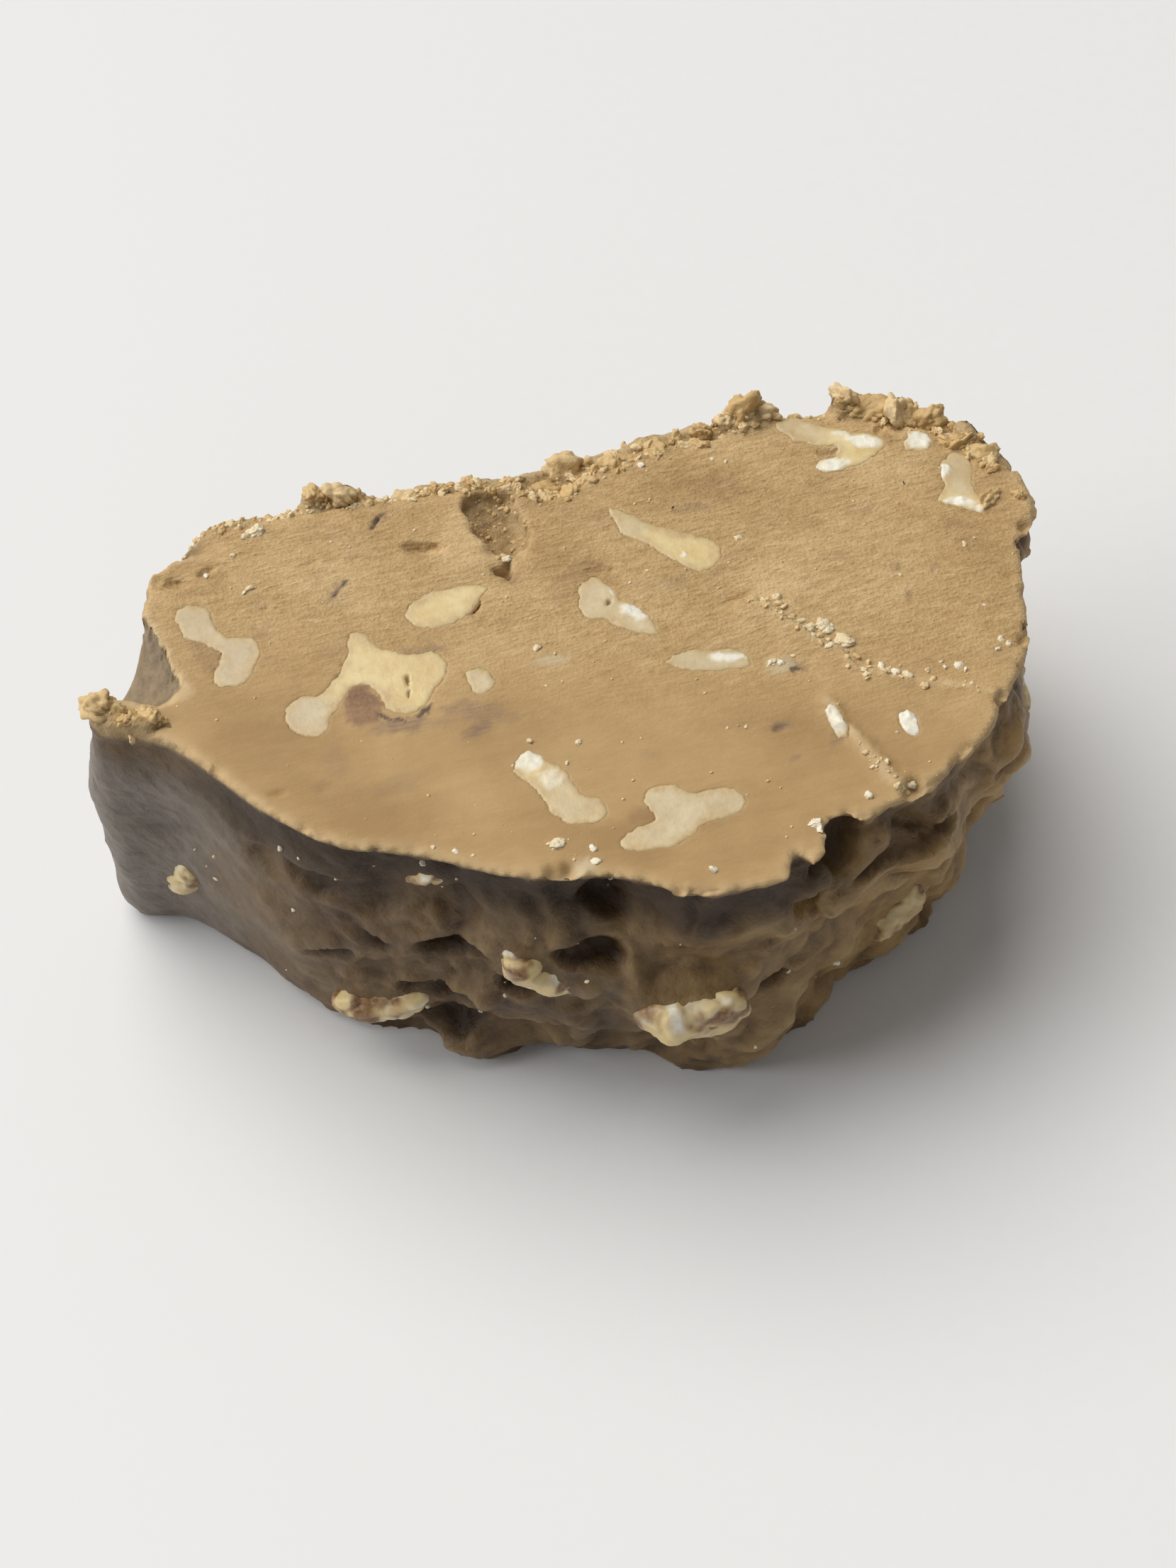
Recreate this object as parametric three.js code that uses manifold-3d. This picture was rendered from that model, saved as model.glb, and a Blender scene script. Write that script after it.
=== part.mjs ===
// A thick slice of maple walnut fudge, cut from a hand-formed loaf and lying on one of its two cut faces.
// The loaf had a flat underside and a domed, craggy crust. The knife left two flat faces, and it sliced the
// walnut pieces in them level with the fudge. Other walnut pieces stand out of the crust.
// Millimetres. +Z is up, +X runs along the loaf's underside and +Y points out of that underside.
import * as THREE from "three";
import { ImprovedNoise } from "three/addons/math/ImprovedNoise.js";
import { mergeVertices } from "three/addons/utils/BufferGeometryUtils.js";
import Module from "manifold-3d";

const wasm = await Module();
wasm.setup();

// Driving dimensions of the slice
const THICKNESS = 40; // between the two cuts
const POCKET_GAP = 0.35; // room between a walnut piece and the fudge round it
const EDGE_WEAR = 0.8; // how far the lower cut edge is worn back
const BACK_WEAR = 2.2; // how far the upper cut has crumbled down along the loaf's underside
const BULGE = 1.2; // how far the crust swells between the cuts

// The loaf's section at the cut, a point at each turn: the underside, the right, the dome, the left corner
const SECTION = [
  [-37, 26.3], [-20, 27.8], [-4, 27.4], [8, 29], [18, 30.3], [30, 29.5], [40, 28],
  [46.5, 24.5], [51.5, 18.5], [52.3, 11], [49.3, 5], [47.5, -2.5], [44, -9.5], [38, -17.5],
  [33, -20.6], [26.5, -23], [21, -26], [13, -30], [3, -29.6], [-5, -25.8], [-14, -24], [-22, -19.8],
  [-30, -16.8], [-36, -11.7], [-44, -1.8], [-47.5, 0.6], [-52.5, 2], [-52.4, 6.4], [-48.6, 10.8], [-45.5, 15.2],
  [-44.4, 19.6],
];
const UNDERSIDE_Y = 24; // the section beyond this is the loaf's flat underside
const SMOOTH_X = -30; // the crust left of this is smooth skin

// How finely the slice is faceted
const AROUND = 112;
const FACE_RINGS = [0.5, 0.89];
const WALL_LEVELS = 15;

// Craggy relief of the crust: rounded lumps with creases between them, and finer roughness
const LUMP_SIZE = 14;
const LUMP_HEIGHT = 6.5;
const ROUGH_SIZE = 6;
const ROUGH_HEIGHT = 1;
const CRAGS_BELOW_CUT = 8; // the relief grows to its full height this far below the upper cut
const CUT_EDGE_SHARE = 0.2; // and has this share of it at the cut
const SMOOTH_SHARE = 0.25;
const UNDERSIDE_SHARE = 0.12;

// Broad swellings and hollows of the crust: where, how high up, how far they reach, how far they stand out
const CRUST_FEATURES = [
  { what: "lump on the right", at: [43, -12], level: 29, along: 5.5, up: 5, out: 4.4 },
  { what: "hollow under that lump", at: [39, -16], level: 20, along: 6, up: 4, out: -2.4 },
  { what: "bulge at the back right", at: [52, 11], level: 34, along: 6, up: 4, out: 1.4 },
  { what: "undercut along the front left", at: [-24, -19], level: 32, along: 11, up: 4.5, out: -1.6 },
  { what: "undercut along the front", at: [-4, -26], level: 33, along: 8, up: 4.5, out: -2.2 },
  { what: "fold low on the front", at: [-8, -25], level: 17, along: 14, up: 5, out: 2.4 },
  { what: "crease under that fold", at: [-4, -26], level: 7, along: 16, up: 3.5, out: -2 },
];

// Holes in the crust: middle and half sizes
const HOLES = [
  { what: "scoop behind the left corner", at: [-51, 10.2, 42.5], half: [8.6, 6.2, 9.5] },
  { what: "upper hole at the front right", at: [20.2, -26.4, 37], half: [3, 3.4, 4.2] },
  { what: "lower hole at the front right", at: [17.2, -29, 30], half: [2.4, 4.2, 3.6] },
  { what: "cleft beside the holes", at: [14.6, -31, 39], half: [1.3, 4.6, 5] },
  { what: "pit at the front left", at: [-37.8, -11, 30], half: [2, 3, 1.5] },
];

// Places where the upper cut has broken away: middle, half sizes, turn in degrees and depth
const CHIPS = [
  { what: "crater", at: [-6, 20.6], half: [3.6, 4], turn: 10, depth: 1.5 },
  { what: "tip of the crater", at: [-5.8, 16.6], half: [2.8, 1.9], turn: -35, depth: 1.4 },
  { what: "crack at that tip", at: [-6.8, 13.2], half: [1.5, 0.9], turn: -50, depth: 2 },
  { what: "slot", at: [-14.6, 18.3], half: [2.2, 0.8], turn: -12, depth: 1 },
  { what: "pit by the left edge", at: [-41.2, 19.2], half: [1.7, 0.9], turn: 8, depth: 1 },
  { what: "chip at the back", at: [1.6, 24.8], half: [5.2, 2.6], turn: 8, depth: 1.6 },
];

// Broken lumps of fudge fused to the upper cut's edge: place, length, width, turn in degrees, height above it
const EDGE_LUMPS = [
  { at: [-25.2, 27.3], length: 3.6, width: 3, turn: 60, height: 1.6 },
  { at: [-22, 27.5], length: 5, width: 3, turn: 5, height: 1.2 },
  { at: [-12, 26.6], length: 6, width: 2.4, turn: -4, height: 0.3 },
  { at: [3.2, 27], length: 4, width: 2.6, turn: 20, height: 0.5 },
  { at: [12.6, 28.4], length: 6, width: 2.4, turn: 12, height: 0.3 },
  { at: [19, 28.4], length: 3.4, width: 3, turn: 80, height: 0.7 },
  { at: [24.4, 29.2], length: 8, width: 4.6, turn: 14, height: 2.2 },
  { at: [35.8, 28.8], length: 4.4, width: 3.4, turn: 70, height: 2 },
  { at: [39, 27.4], length: 6.4, width: 3.6, turn: -18, height: 0.8 },
  { at: [42.2, 27], length: 3.6, width: 2.6, turn: 25, height: 1.7 },
  { at: [45.2, 25], length: 5.4, width: 3, turn: -35, height: 0.7 },
  { at: [48.2, 21.8], length: 4.6, width: 2.8, turn: -62, height: 1.7 },
  { at: [49.4, 18.3], length: 5, width: 4, turn: 25, height: 0.8 },
  { at: [48.3, 12.3], length: 3.4, width: 2, turn: -25, height: 0.4 },
  { at: [-51.5, 4], length: 4.2, width: 2.6, turn: 80, height: 1.6 },
  { at: [-50.2, 3.6], length: 6, width: 2.6, turn: -20, height: 0.5 },
];

// Walnut pieces sliced by the upper cut: each one's outline on it, a point at each turn
const CUT_WALNUTS = {
  walnut_back_right: [
    [27.3, 27.6], [30, 27.6], [33.5, 25.4], [37.3, 23.9], [38.9, 22.6], [37.2, 20.6], [34, 19.5],
    [31, 19.6], [30.2, 21], [33.2, 21.6], [33.5, 22.6], [30, 23.8], [28.2, 25.6],
  ],
  walnut_back_right_chip: [[40.9, 20.8], [41.5, 22.8], [43, 23.2], [44.4, 22], [43.6, 20.5], [42, 20.3]],
  walnut_right: [
    [44.3, 18.5], [46, 19.4], [47.3, 18.8], [47.5, 16.8], [46.7, 15.2], [46.6, 13.2], [47.6, 11],
    [46.5, 10.6], [44.5, 11.6], [42.2, 13.1], [43.4, 14.4], [43.6, 16.2],
  ],
  walnut_middle_back: [
    [6.3, 19.5], [7.9, 18.6], [9.2, 17], [12.5, 15], [15.5, 13.5], [17.1, 11.3], [15.2, 9],
    [12.5, 9.9], [10.4, 12.3], [8.8, 14.2], [6.8, 15.8],
  ],
  walnut_middle: [
    [1.2, 10.2], [2.8, 10.6], [4, 9], [4.3, 7.4], [6.5, 5.2], [7.3, 3.4], [7.8, 1.8], [6, 2.1],
    [3.5, 3.8], [1.5, 5.3], [0.1, 6], [0.2, 7.8],
  ],
  walnut_left_oval: [
    [-18.3, 9.6], [-17, 11.3], [-14.5, 12.2], [-11.5, 12], [-8.8, 11.8], [-9.8, 10.2], [-11.5, 8.5],
    [-14, 7.6], [-16.5, 7.4],
  ],
  walnut_left_large: [
    [-24.6, 8.3], [-23.2, 8.4], [-22, 6.4], [-19, 4.9], [-16, 4.3], [-15, 2.6], [-17, -0.4], [-19, -2.6],
    [-20.8, -2.8], [-22.4, -1.2], [-23.3, 1.5], [-25, 1.9], [-26.4, 0.6], [-28.5, -2], [-29.5, -3.4],
    [-31, -3.4], [-32.7, -1.5], [-32.6, 0.6], [-30.8, 1.6], [-29, 1.6], [-26.8, 3.4], [-25.2, 5.2],
  ],
  walnut_left_edge: [
    [-42, 14.2], [-41.5, 15.6], [-39.5, 15.7], [-38.3, 14.6], [-38.3, 12.6], [-37, 10.7], [-34.2, 10],
    [-34, 8], [-36, 4.8], [-38.3, 4.6], [-39.3, 5.6], [-37.8, 8.2], [-38.6, 9.8], [-41.2, 11.6],
  ],
  walnut_cube: [[-13.2, 1], [-11, 1], [-10.7, -0.5], [-11.7, -2], [-13, -1.6]],
  walnut_middle_right: [
    [7.2, -1.7], [9.5, -0.9], [12.5, -1.4], [15, -1.6], [16.3, -3], [15.8, -4.3], [12.5, -4], [9.2, -3.5],
  ],
  walnut_front: [
    [-11, -12], [-10.6, -10.2], [-9, -9.8], [-7.3, -11.4], [-5.9, -13.2], [-5, -16], [-2.8, -17.3],
    [-3.2, -19], [-5.2, -19.6], [-7.6, -18.6], [-9.2, -14.8],
  ],
  walnut_front_right: [
    [1, -18], [2, -16.8], [4, -16.5], [6.2, -18.4], [9, -18.2], [11, -18.9], [11.3, -20.5], [10, -21.7],
    [6.4, -21.8], [4.8, -23.2], [1, -23.8], [-1.5, -23.6], [-2.6, -22.6], [-1.2, -21.2], [1.7, -20.4],
  ],
  walnut_right_chip: [[29.6, -13.3], [31.2, -13], [31.2, -15.5], [30.5, -16.6], [29.4, -15]],
  walnut_right_sliver: [
    [22.1, -11.2], [23.2, -10.7], [23.6, -12.4], [23.9, -14.9], [23.1, -15.3], [22.2, -13],
  ],
};
const CUT_WALNUT_STEP = 1.2; // between the points along an outline
const CUT_WALNUT_DEPTH = 0.42; // depth as a share of the side of a square of the same area
const CUT_WALNUT_TAPER = 0.88; // size of its hidden end as a share of the cut one

// Walnut pieces sliced by the lower cut: pieces like those above, moved to a place and turned by degrees
const LOWER_WALNUTS = [
  { like: "walnut_middle_back", at: [-30, 8], turn: 70 },
  { like: "walnut_left_oval", at: [-13, -7], turn: -50 },
  { like: "walnut_middle", at: [13, 14], turn: 100 },
  { like: "walnut_front", at: [22, -11], turn: 30 },
  { like: "walnut_right", at: [38, 12], turn: -70 },
];

// Walnut pieces that stand out of the crust: place on the section, height, size and turn in degrees
const CRUST_WALNUTS = [
  { at: [-45.5, -0.8], level: 13, length: 8, width: 4, turn: 70 },
  { at: [-21.5, -20], level: 33.5, length: 6, width: 3.6, turn: 60 },
  { at: [-27, -18], level: 10, length: 10, width: 6, turn: 20 },
  { at: [-12, -24.2], level: 24, length: 9, width: 5, turn: -35 },
  { at: [5.5, -29.8], level: 20, length: 11, width: 7, turn: 14 },
  { at: [31, -21.5], level: 12, length: 9, width: 6, turn: 55 },
  { at: [48, 0], level: 17, length: 9, width: 5, turn: -50 },
  { at: [-33, 27], level: 16, length: 8, width: 5, turn: 25 },
  { at: [9, 29], level: 22, length: 10, width: 5, turn: -15 },
  { at: [33, 29], level: 12, length: 7, width: 5, turn: 60 },
];
const CRUST_WALNUT_SUNK = 0.4; // depth of its middle below the crust as a share of half its width
const CRUST_WALNUT_WAIST = 0.26;
const CRUST_WALNUT_BEND = 0.3;
const LUMP_SIDES = 10; // facets of a hole or a lump round its axis
const LUMP_RINGS = 8; // and along it
const LUMP_UNEVENNESS = 0.24;

const FUDGE = new THREE.MeshStandardMaterial({ color: 0xb8966a, roughness: 0.6, metalness: 0 });
const WALNUT = new THREE.MeshStandardMaterial({ color: 0xe4cd9a, roughness: 0.5, metalness: 0 });

const noise = new ImprovedNoise();
const draw = THREE.MathUtils.seededRandom;
draw(283);

// A closed geometry as a solid for joining and cutting.
function solidOf(geometry) {
  const bare = geometry.clone();
  bare.deleteAttribute("normal");
  bare.deleteAttribute("uv");
  const merged = mergeVertices(bare, 1e-4);
  const triVerts = new Uint32Array(merged.index.array);
  return new wasm.Manifold(
    new wasm.Mesh({ numProp: 3, vertProperties: merged.attributes.position.array, triVerts }),
  );
}

function geometryOf(solid) {
  const mesh = solid.getMesh();
  const geometry = new THREE.BufferGeometry();
  geometry.setAttribute("position", new THREE.BufferAttribute(mesh.vertProperties, 3));
  geometry.setIndex(new THREE.BufferAttribute(mesh.triVerts, 1));
  return geometry;
}

function mix(from, to, share) {
  return from + (to - from) * share;
}

// Points evenly spaced along a closed curve through the turns, each with its way out of a clockwise outline.
function spacedPoints(turns, count) {
  const places = turns.map(([x, y]) => new THREE.Vector3(x, y, 0));
  const curve = new THREE.CatmullRomCurve3(places, true, "centripetal");
  return Array.from({ length: count }, (_, i) => {
    const along = curve.getTangentAt(i / count);
    return { place: curve.getPointAt(i / count), out: new THREE.Vector3(-along.y, along.x, 0) };
  });
}

const section = spacedPoints(SECTION, AROUND);

// How much of the underside's flatness, from 0 to 1, the crust has at a place on the section.
function undersideShare(place) {
  return THREE.MathUtils.smoothstep(place.y, UNDERSIDE_Y - 4, UNDERSIDE_Y + 1);
}

function craggedness(place, level) {
  const smooth = 1 - THREE.MathUtils.smoothstep(place.x, SMOOTH_X - 8, SMOOTH_X + 8);
  const below = THREE.MathUtils.smoothstep(THICKNESS - level, 0, CRAGS_BELOW_CUT);
  const share = mix(mix(1, SMOOTH_SHARE, smooth), UNDERSIDE_SHARE, undersideShare(place));
  return share * mix(CUT_EDGE_SHARE, 1, below);
}

// How far the crust stands out from the plain section at a place and a height.
function crustRelief(place, level) {
  const lump = Math.abs(noise.noise(place.x / LUMP_SIZE, place.y / LUMP_SIZE, level / LUMP_SIZE));
  const rough = noise.noise(place.x / ROUGH_SIZE, place.y / ROUGH_SIZE, 7 + level / ROUGH_SIZE);
  const crags = (lump - 0.2) * LUMP_HEIGHT + rough * ROUGH_HEIGHT;
  const swelling = BULGE * Math.sin((Math.PI * level) / THICKNESS);
  const features = CRUST_FEATURES.reduce((sum, f) => {
    const along = Math.hypot(place.x - f.at[0], place.y - f.at[1]) / f.along;
    const up = (level - f.level) / f.up;
    return sum + f.out * Math.exp(-along * along - up * up);
  }, 0);
  return crags * craggedness(place, level) + swelling + features;
}

// The height of the upper cut's edge, which has crumbled down along the loaf's underside.
function upperEdgeLevel(place) {
  const uneven = 0.6 + 0.8 * noise.noise(place.x / 5, place.y / 5, 3);
  return THICKNESS - BACK_WEAR * uneven * undersideShare(place);
}

// The bare slice: rings across the lower cut, up the crust and back across the upper cut.
function bareSlice() {
  const rings = [0, ...FACE_RINGS].map((share) => ({ share, level: 0 }));
  for (let i = 0; i <= WALL_LEVELS; i++) {
    rings.push({ share: 1, level: (THICKNESS * i) / WALL_LEVELS });
  }
  rings.push(...[...FACE_RINGS, 0].sort((a, b) => b - a).map((share) => ({ share, level: THICKNESS })));

  const profile = rings.map((ring) => new THREE.Vector2(ring.share, ring.level));
  const geometry = new THREE.LatheGeometry(profile, AROUND);
  for (let i = 0; i <= AROUND; i++) {
    const { place, out } = section[(AROUND - i) % AROUND];
    rings.forEach((ring, j) => {
      const worn = ring.level === 0 ? EDGE_WEAR : 0;
      const edge = place.clone().addScaledVector(out, crustRelief(place, ring.level) - worn);
      edge.multiplyScalar(ring.share);
      const atUpperEdge = ring.share === 1 && ring.level === THICKNESS;
      edge.z = atUpperEdge ? upperEdgeLevel(place) : ring.level;
      geometry.attributes.position.setXYZ(i * rings.length + j, edge.x, edge.y, edge.z);
    });
  }
  return solidOf(geometry);
}

// A ball of radius 1 with an uneven surface, and with its poles on the X axis.
function unevenBall(seed) {
  const geometry = new THREE.SphereGeometry(1, LUMP_SIDES, LUMP_RINGS).rotateZ(Math.PI / 2);
  const positions = geometry.attributes.position;
  const point = new THREE.Vector3();
  for (let i = 0; i < positions.count; i++) {
    point.fromBufferAttribute(positions, i);
    const uneven = noise.noise(point.x * 1.4 + seed, point.y * 1.4, point.z * 1.4);
    point.multiplyScalar(1 + LUMP_UNEVENNESS * uneven);
    positions.setXYZ(i, point.x, point.y, point.z);
  }
  return geometry;
}

function hole({ at, half }) {
  return solidOf(unevenBall(at[0]).scale(...half).translate(...at));
}

// A broken lump with few flat faces.
function shard(halfLength, halfWidth, halfHeight) {
  const geometry = new THREE.IcosahedronGeometry(1, 0);
  geometry.rotateX(Math.PI * draw());
  geometry.rotateZ(Math.PI * draw());
  return geometry.scale(halfLength, halfWidth, halfHeight);
}

function chip({ at, half, turn, depth }) {
  const geometry = shard(half[0], half[1], depth);
  geometry.rotateZ(THREE.MathUtils.degToRad(turn));
  return solidOf(geometry.translate(at[0], at[1], THICKNESS));
}

function edgeLump({ at, length, width, turn, height }) {
  const geometry = shard(length / 2, width / 2, width / 2);
  geometry.rotateZ(THREE.MathUtils.degToRad(turn));
  return solidOf(geometry.translate(at[0], at[1], THICKNESS + height - width / 2));
}

function area(outline) {
  const points = outline.map(({ place }) => new THREE.Vector2(place.x, place.y));
  return Math.abs(THREE.ShapeUtils.area(points));
}

function middleOf(points) {
  const sum = points.reduce((total, { place }) => total.add(place), new THREE.Vector3());
  return sum.divideScalar(points.length);
}

// A walnut piece under a cut at z = 0, with its outline on the cut. A pocket for it is grown by a margin,
// which takes it past the cut too.
function cutWalnut(turns, margin) {
  const rim = turns.reduce((sum, [x, y], i) => {
    const next = turns[(i + 1) % turns.length];
    return sum + Math.hypot(next[0] - x, next[1] - y);
  }, 0);
  const outline = spacedPoints(turns, Math.round(rim / CUT_WALNUT_STEP));
  const depth = CUT_WALNUT_DEPTH * Math.sqrt(area(outline)) + 2 * margin;
  const middle = middleOf(outline);
  const grown = outline.map(({ place, out }) => place.clone().addScaledVector(out, margin));
  const shape = new THREE.Shape(grown.map(({ x, y }) => new THREE.Vector2(x, y)));
  const geometry = new THREE.ExtrudeGeometry(shape, { depth, bevelEnabled: false });
  geometry.translate(-middle.x, -middle.y, margin - depth);
  const positions = geometry.attributes.position;
  for (let i = 0; i < positions.count; i++) {
    if (positions.getZ(i) < margin - depth / 2) {
      positions.setX(i, positions.getX(i) * CUT_WALNUT_TAPER);
      positions.setY(i, positions.getY(i) * CUT_WALNUT_TAPER);
    }
  }
  return { geometry, middle };
}

function upperWalnut(turns, margin) {
  const { geometry, middle } = cutWalnut(turns, margin);
  return solidOf(geometry.translate(middle.x, middle.y, THICKNESS));
}

function lowerWalnut({ like, at, turn }, margin) {
  const { geometry } = cutWalnut(CUT_WALNUTS[like], margin);
  geometry.rotateX(Math.PI).rotateZ(THREE.MathUtils.degToRad(turn));
  return solidOf(geometry.translate(at[0], at[1], 0));
}

// A walnut piece in the crust: an uneven lump of two lobes, grown by a margin all round.
function crustWalnut({ at, level, length, width, turn }, margin) {
  const geometry = unevenBall(level);
  const positions = geometry.attributes.position;
  for (let i = 0; i < positions.count; i++) {
    const x = positions.getX(i);
    const waist = 1 - CRUST_WALNUT_WAIST * Math.exp(-((x / 0.35) ** 2));
    const bent = CRUST_WALNUT_BEND * x * x;
    positions.setXYZ(i, x, positions.getY(i) * waist + bent, positions.getZ(i) * waist);
  }
  geometry.scale(length / 2 + margin, width / 2 + margin * 1.4, width / 2 + margin * 1.4);
  geometry.rotateZ(THREE.MathUtils.degToRad(turn));

  const place = new THREE.Vector3(at[0], at[1], 0);
  const nearest = section.reduce((a, b) => (a.place.distanceTo(place) < b.place.distanceTo(place) ? a : b));
  const depth = crustRelief(nearest.place, level) - (CRUST_WALNUT_SUNK * width) / 2;
  const middle = nearest.place.clone().addScaledVector(nearest.out, depth);
  const upright = new THREE.Vector3(0, 0, 1);
  const sideways = upright.clone().cross(nearest.out);
  geometry.applyMatrix4(new THREE.Matrix4().makeBasis(sideways, upright, nearest.out));
  return solidOf(geometry.translate(middle.x, middle.y, level));
}

// Each walnut piece by name, as a function of the margin that it is grown by.
const walnuts = new Map();
Object.entries(CUT_WALNUTS).forEach(([name, turns]) => {
  walnuts.set(name, (margin) => upperWalnut(turns, margin));
});
LOWER_WALNUTS.forEach((walnut, i) => {
  walnuts.set(`walnut_lower_${i + 1}`, (margin) => lowerWalnut(walnut, margin));
});
CRUST_WALNUTS.forEach((walnut, i) => {
  walnuts.set(`walnut_crust_${i + 1}`, (margin) => crustWalnut(walnut, margin));
});

function fudgeBody() {
  const cuts = [...HOLES.map(hole), ...CHIPS.map(chip)];
  const shaped = cuts.reduce((body, cut) => body.subtract(cut), bareSlice());
  const lumped = EDGE_LUMPS.map(edgeLump).reduce((body, lump) => body.add(lump), shaped);
  return [...walnuts.values()].reduce((body, grown) => body.subtract(grown(POCKET_GAP)), lumped);
}

function namedMesh(name, solid, material) {
  const mesh = new THREE.Mesh(geometryOf(solid), material);
  mesh.name = name;
  return mesh;
}

const slice = new THREE.Group();
slice.add(namedMesh("fudge_slice", fudgeBody(), FUDGE));
walnuts.forEach((grown, name) => {
  slice.add(namedMesh(name, grown(0), WALNUT));
});

// The origin is under the middle of the slice, on the surface that it lies on.
const box = new THREE.Box3().setFromObject(slice);
const centre = box.getCenter(new THREE.Vector3());
slice.position.set(-centre.x, -centre.y, -box.min.z);

const part = new THREE.Group();
part.add(slice);
export default part;
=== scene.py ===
"""A thick slice of maple walnut fudge, lying on one cut face.

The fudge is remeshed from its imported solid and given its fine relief: the knife's drag marks, a flap that
the knife lifted, crumbled edges and a folded crust. The walnut pieces are remeshed from their own solids.
Crumbs, bits of walnut and flakes of walnut skin are scattered meshes.

Lengths in the tables are millimetres. Places on the upper cut are x, y in the frame of the loaf's section.
"""
import math
from functools import cache
from types import SimpleNamespace

import bmesh
import bpy
import numpy as np
from mathutils import Matrix, Vector, noise
from mathutils.bvhtree import BVHTree


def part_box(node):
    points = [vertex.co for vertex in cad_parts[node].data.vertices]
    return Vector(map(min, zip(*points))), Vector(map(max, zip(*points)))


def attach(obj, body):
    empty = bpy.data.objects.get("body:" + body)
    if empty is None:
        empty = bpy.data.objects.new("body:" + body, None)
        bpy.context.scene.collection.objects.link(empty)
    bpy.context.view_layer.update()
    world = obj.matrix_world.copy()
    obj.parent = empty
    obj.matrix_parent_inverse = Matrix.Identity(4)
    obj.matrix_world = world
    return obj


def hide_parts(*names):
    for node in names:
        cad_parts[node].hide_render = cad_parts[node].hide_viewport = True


MM = 0.001
SEED = 283

# Steps between noises that have to differ: a noise's octaves and its two sideways directions
OCTAVE_SHIFT = 7.3
SIDEWAYS_SHIFT = 31.7

# The slice
THICKNESS = 40.0
SECTION_SHIFT = np.array([-0.215, 1.966])  # from the section's frame to the part's
FUDGE_VOXEL = 0.56
CUT_WALNUT_VOXEL = 0.22
CRUST_WALNUT_VOXEL = 0.3
WELD_DISTANCE = 1e-6  # metres
FLAT_ANGLE = 0.05  # radians between faces that are melted into one
LEVEL = 0.97  # upward part of a normal from which a surface counts as level
KERNEL_PLANES = 5  # broken planes on each walnut piece in the crust
FOLD_LEAN = np.array([[0.9, 0.2, 0.3], [-0.2, 0.95, 0.2], [-0.3, -0.2, 0.9]])  # leans the crust's folds over

# How far the walnut solids grow, as fillings and as pieces, and how far the fudge sinks under sliced ones
CUT_FILLING_MARGIN = 0.5
CRUST_FILLING_MARGIN = 0.12
CUT_WALNUT_MARGIN = 0.2
CRUST_WALNUT_MARGIN = 0.35
POCKET_DEPTH = 0.5

# The flap that the knife lifted: its torn edge, the rest of its outline, and the ridge down its left side
FLAP_TORN_EDGE = [
    (19.2, 4.1), (20.7, 2.5), (21.6, 0.9), (22.9, -0.7), (25.2, -3.4), (27.5, -6.8), (30, -8.3), (33, -9.4),
    (36, -10.8), (41.6, -13),
]
FLAP_SOFT_EDGE = [
    (44, -14), (40, -24), (30, -26), (26.5, -23.5), (25.8, -20), (24.6, -16.5), (22.6, -12.5), (23.2, -8.2),
    (22, -4.6), (19.5, -1), (14.8, 2.2), (15, 3.6), (16.9, 4.6),
]
FLAP_HEIGHT = 0.55
FLAP_RIDGE = [(22.6, -10.6), (23.1, -13.1), (24.2, -15.7), (25.6, -18.2), (26.1, -20.7), (28, -22.3)]
FLAP_RIDGE_HEIGHT = 0.5

# The crater where a chip broke out of the cut near the loaf's underside, and the crack at its tip
CRATER = [
    (-9.6, 23), (-8.6, 24.1), (-6, 24.6), (-3.4, 23.6), (-3.2, 20.8), (-2.6, 17.8), (-3.3, 16.2),
    (-5.3, 15.3), (-7, 15.2), (-7.5, 16.6), (-8.3, 18.2), (-8.8, 20), (-9.3, 22),
]
CRATER_DEPTH = 1.4
CRACK = [(-8.3, 13.6), (-7.4, 12.8), (-6.4, 11.7), (-5.8, 13), (-5.6, 14.8), (-7, 14.2)]
CRACK_DEPTH = 1.6

# Pits in the cut: x, y, half length, half width, turn in degrees, share of the full depth
PITS = [
    (-14.5, 18.2, 2.2, 0.7, -16, 0.75), (-10.7, 9.2, 0.8, 0.35, 50, 0.8), (-41.4, 18.8, 1.4, 0.6, -10, 0.5),
    (-43.1, 19.5, 0.7, 0.5, 40, 0.4), (-37.9, 19.7, 1.1, 0.35, 14, 0.5), (-39.8, 23, 1, 0.4, 50, 0.2),
    (-32.6, 13.6, 0.6, 0.3, -10, 0.3), (-26.6, 18.6, 0.8, 0.25, 5, 0.3), (32, 22.2, 1.2, 0.35, -10, 0.5),
    (16.9, 4.7, 1.6, 0.25, 10, 0.3), (3.7, 11.3, 1.7, 0.25, -8, 0.5), (-35, -9.6, 0.9, 0.3, 0, 0.25),
    (17, -12.4, 0.8, 0.35, 5, 0.3), (38.9, 24.4, 0.8, 0.4, 50, 0.6), (-18.9, 22.7, 1.1, 0.2, 50, 0.4),
]
PIT_DEPTH = 0.9

# Slits in the sliced walnut pieces, in the same form
SLITS = [(-19.6, 1.4, 0.75, 0.22, 80, 1), (-19.8, -0.3, 0.45, 0.18, 84, 0.9), (3.3, 6.8, 0.35, 0.2, 20, 0.8)]
SLIT_DEPTH = 0.4

# Bites out of the front rim: x, y, reach, depth
RIM_BITES = [
    (-9, -25.6, 2.6, 1.3), (-6.4, -26.8, 1.6, 1.3), (1.2, -30, 2, 1.3), (8.4, -31.4, 1.9, 1.2),
    (-23.4, -20, 1.2, 0.5), (28.6, -22.9, 1.7, 1.2), (26.2, -25, 1.9, 1.4), (-33.4, -14.4, 1.3, 0.5),
    (41.4, -13.6, 1.2, 0.9), (48.2, -1, 1.1, 0.9), (50.8, 7.6, 1.3, 0.9), (45.6, -6.8, 1, 0.7),
]

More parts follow.
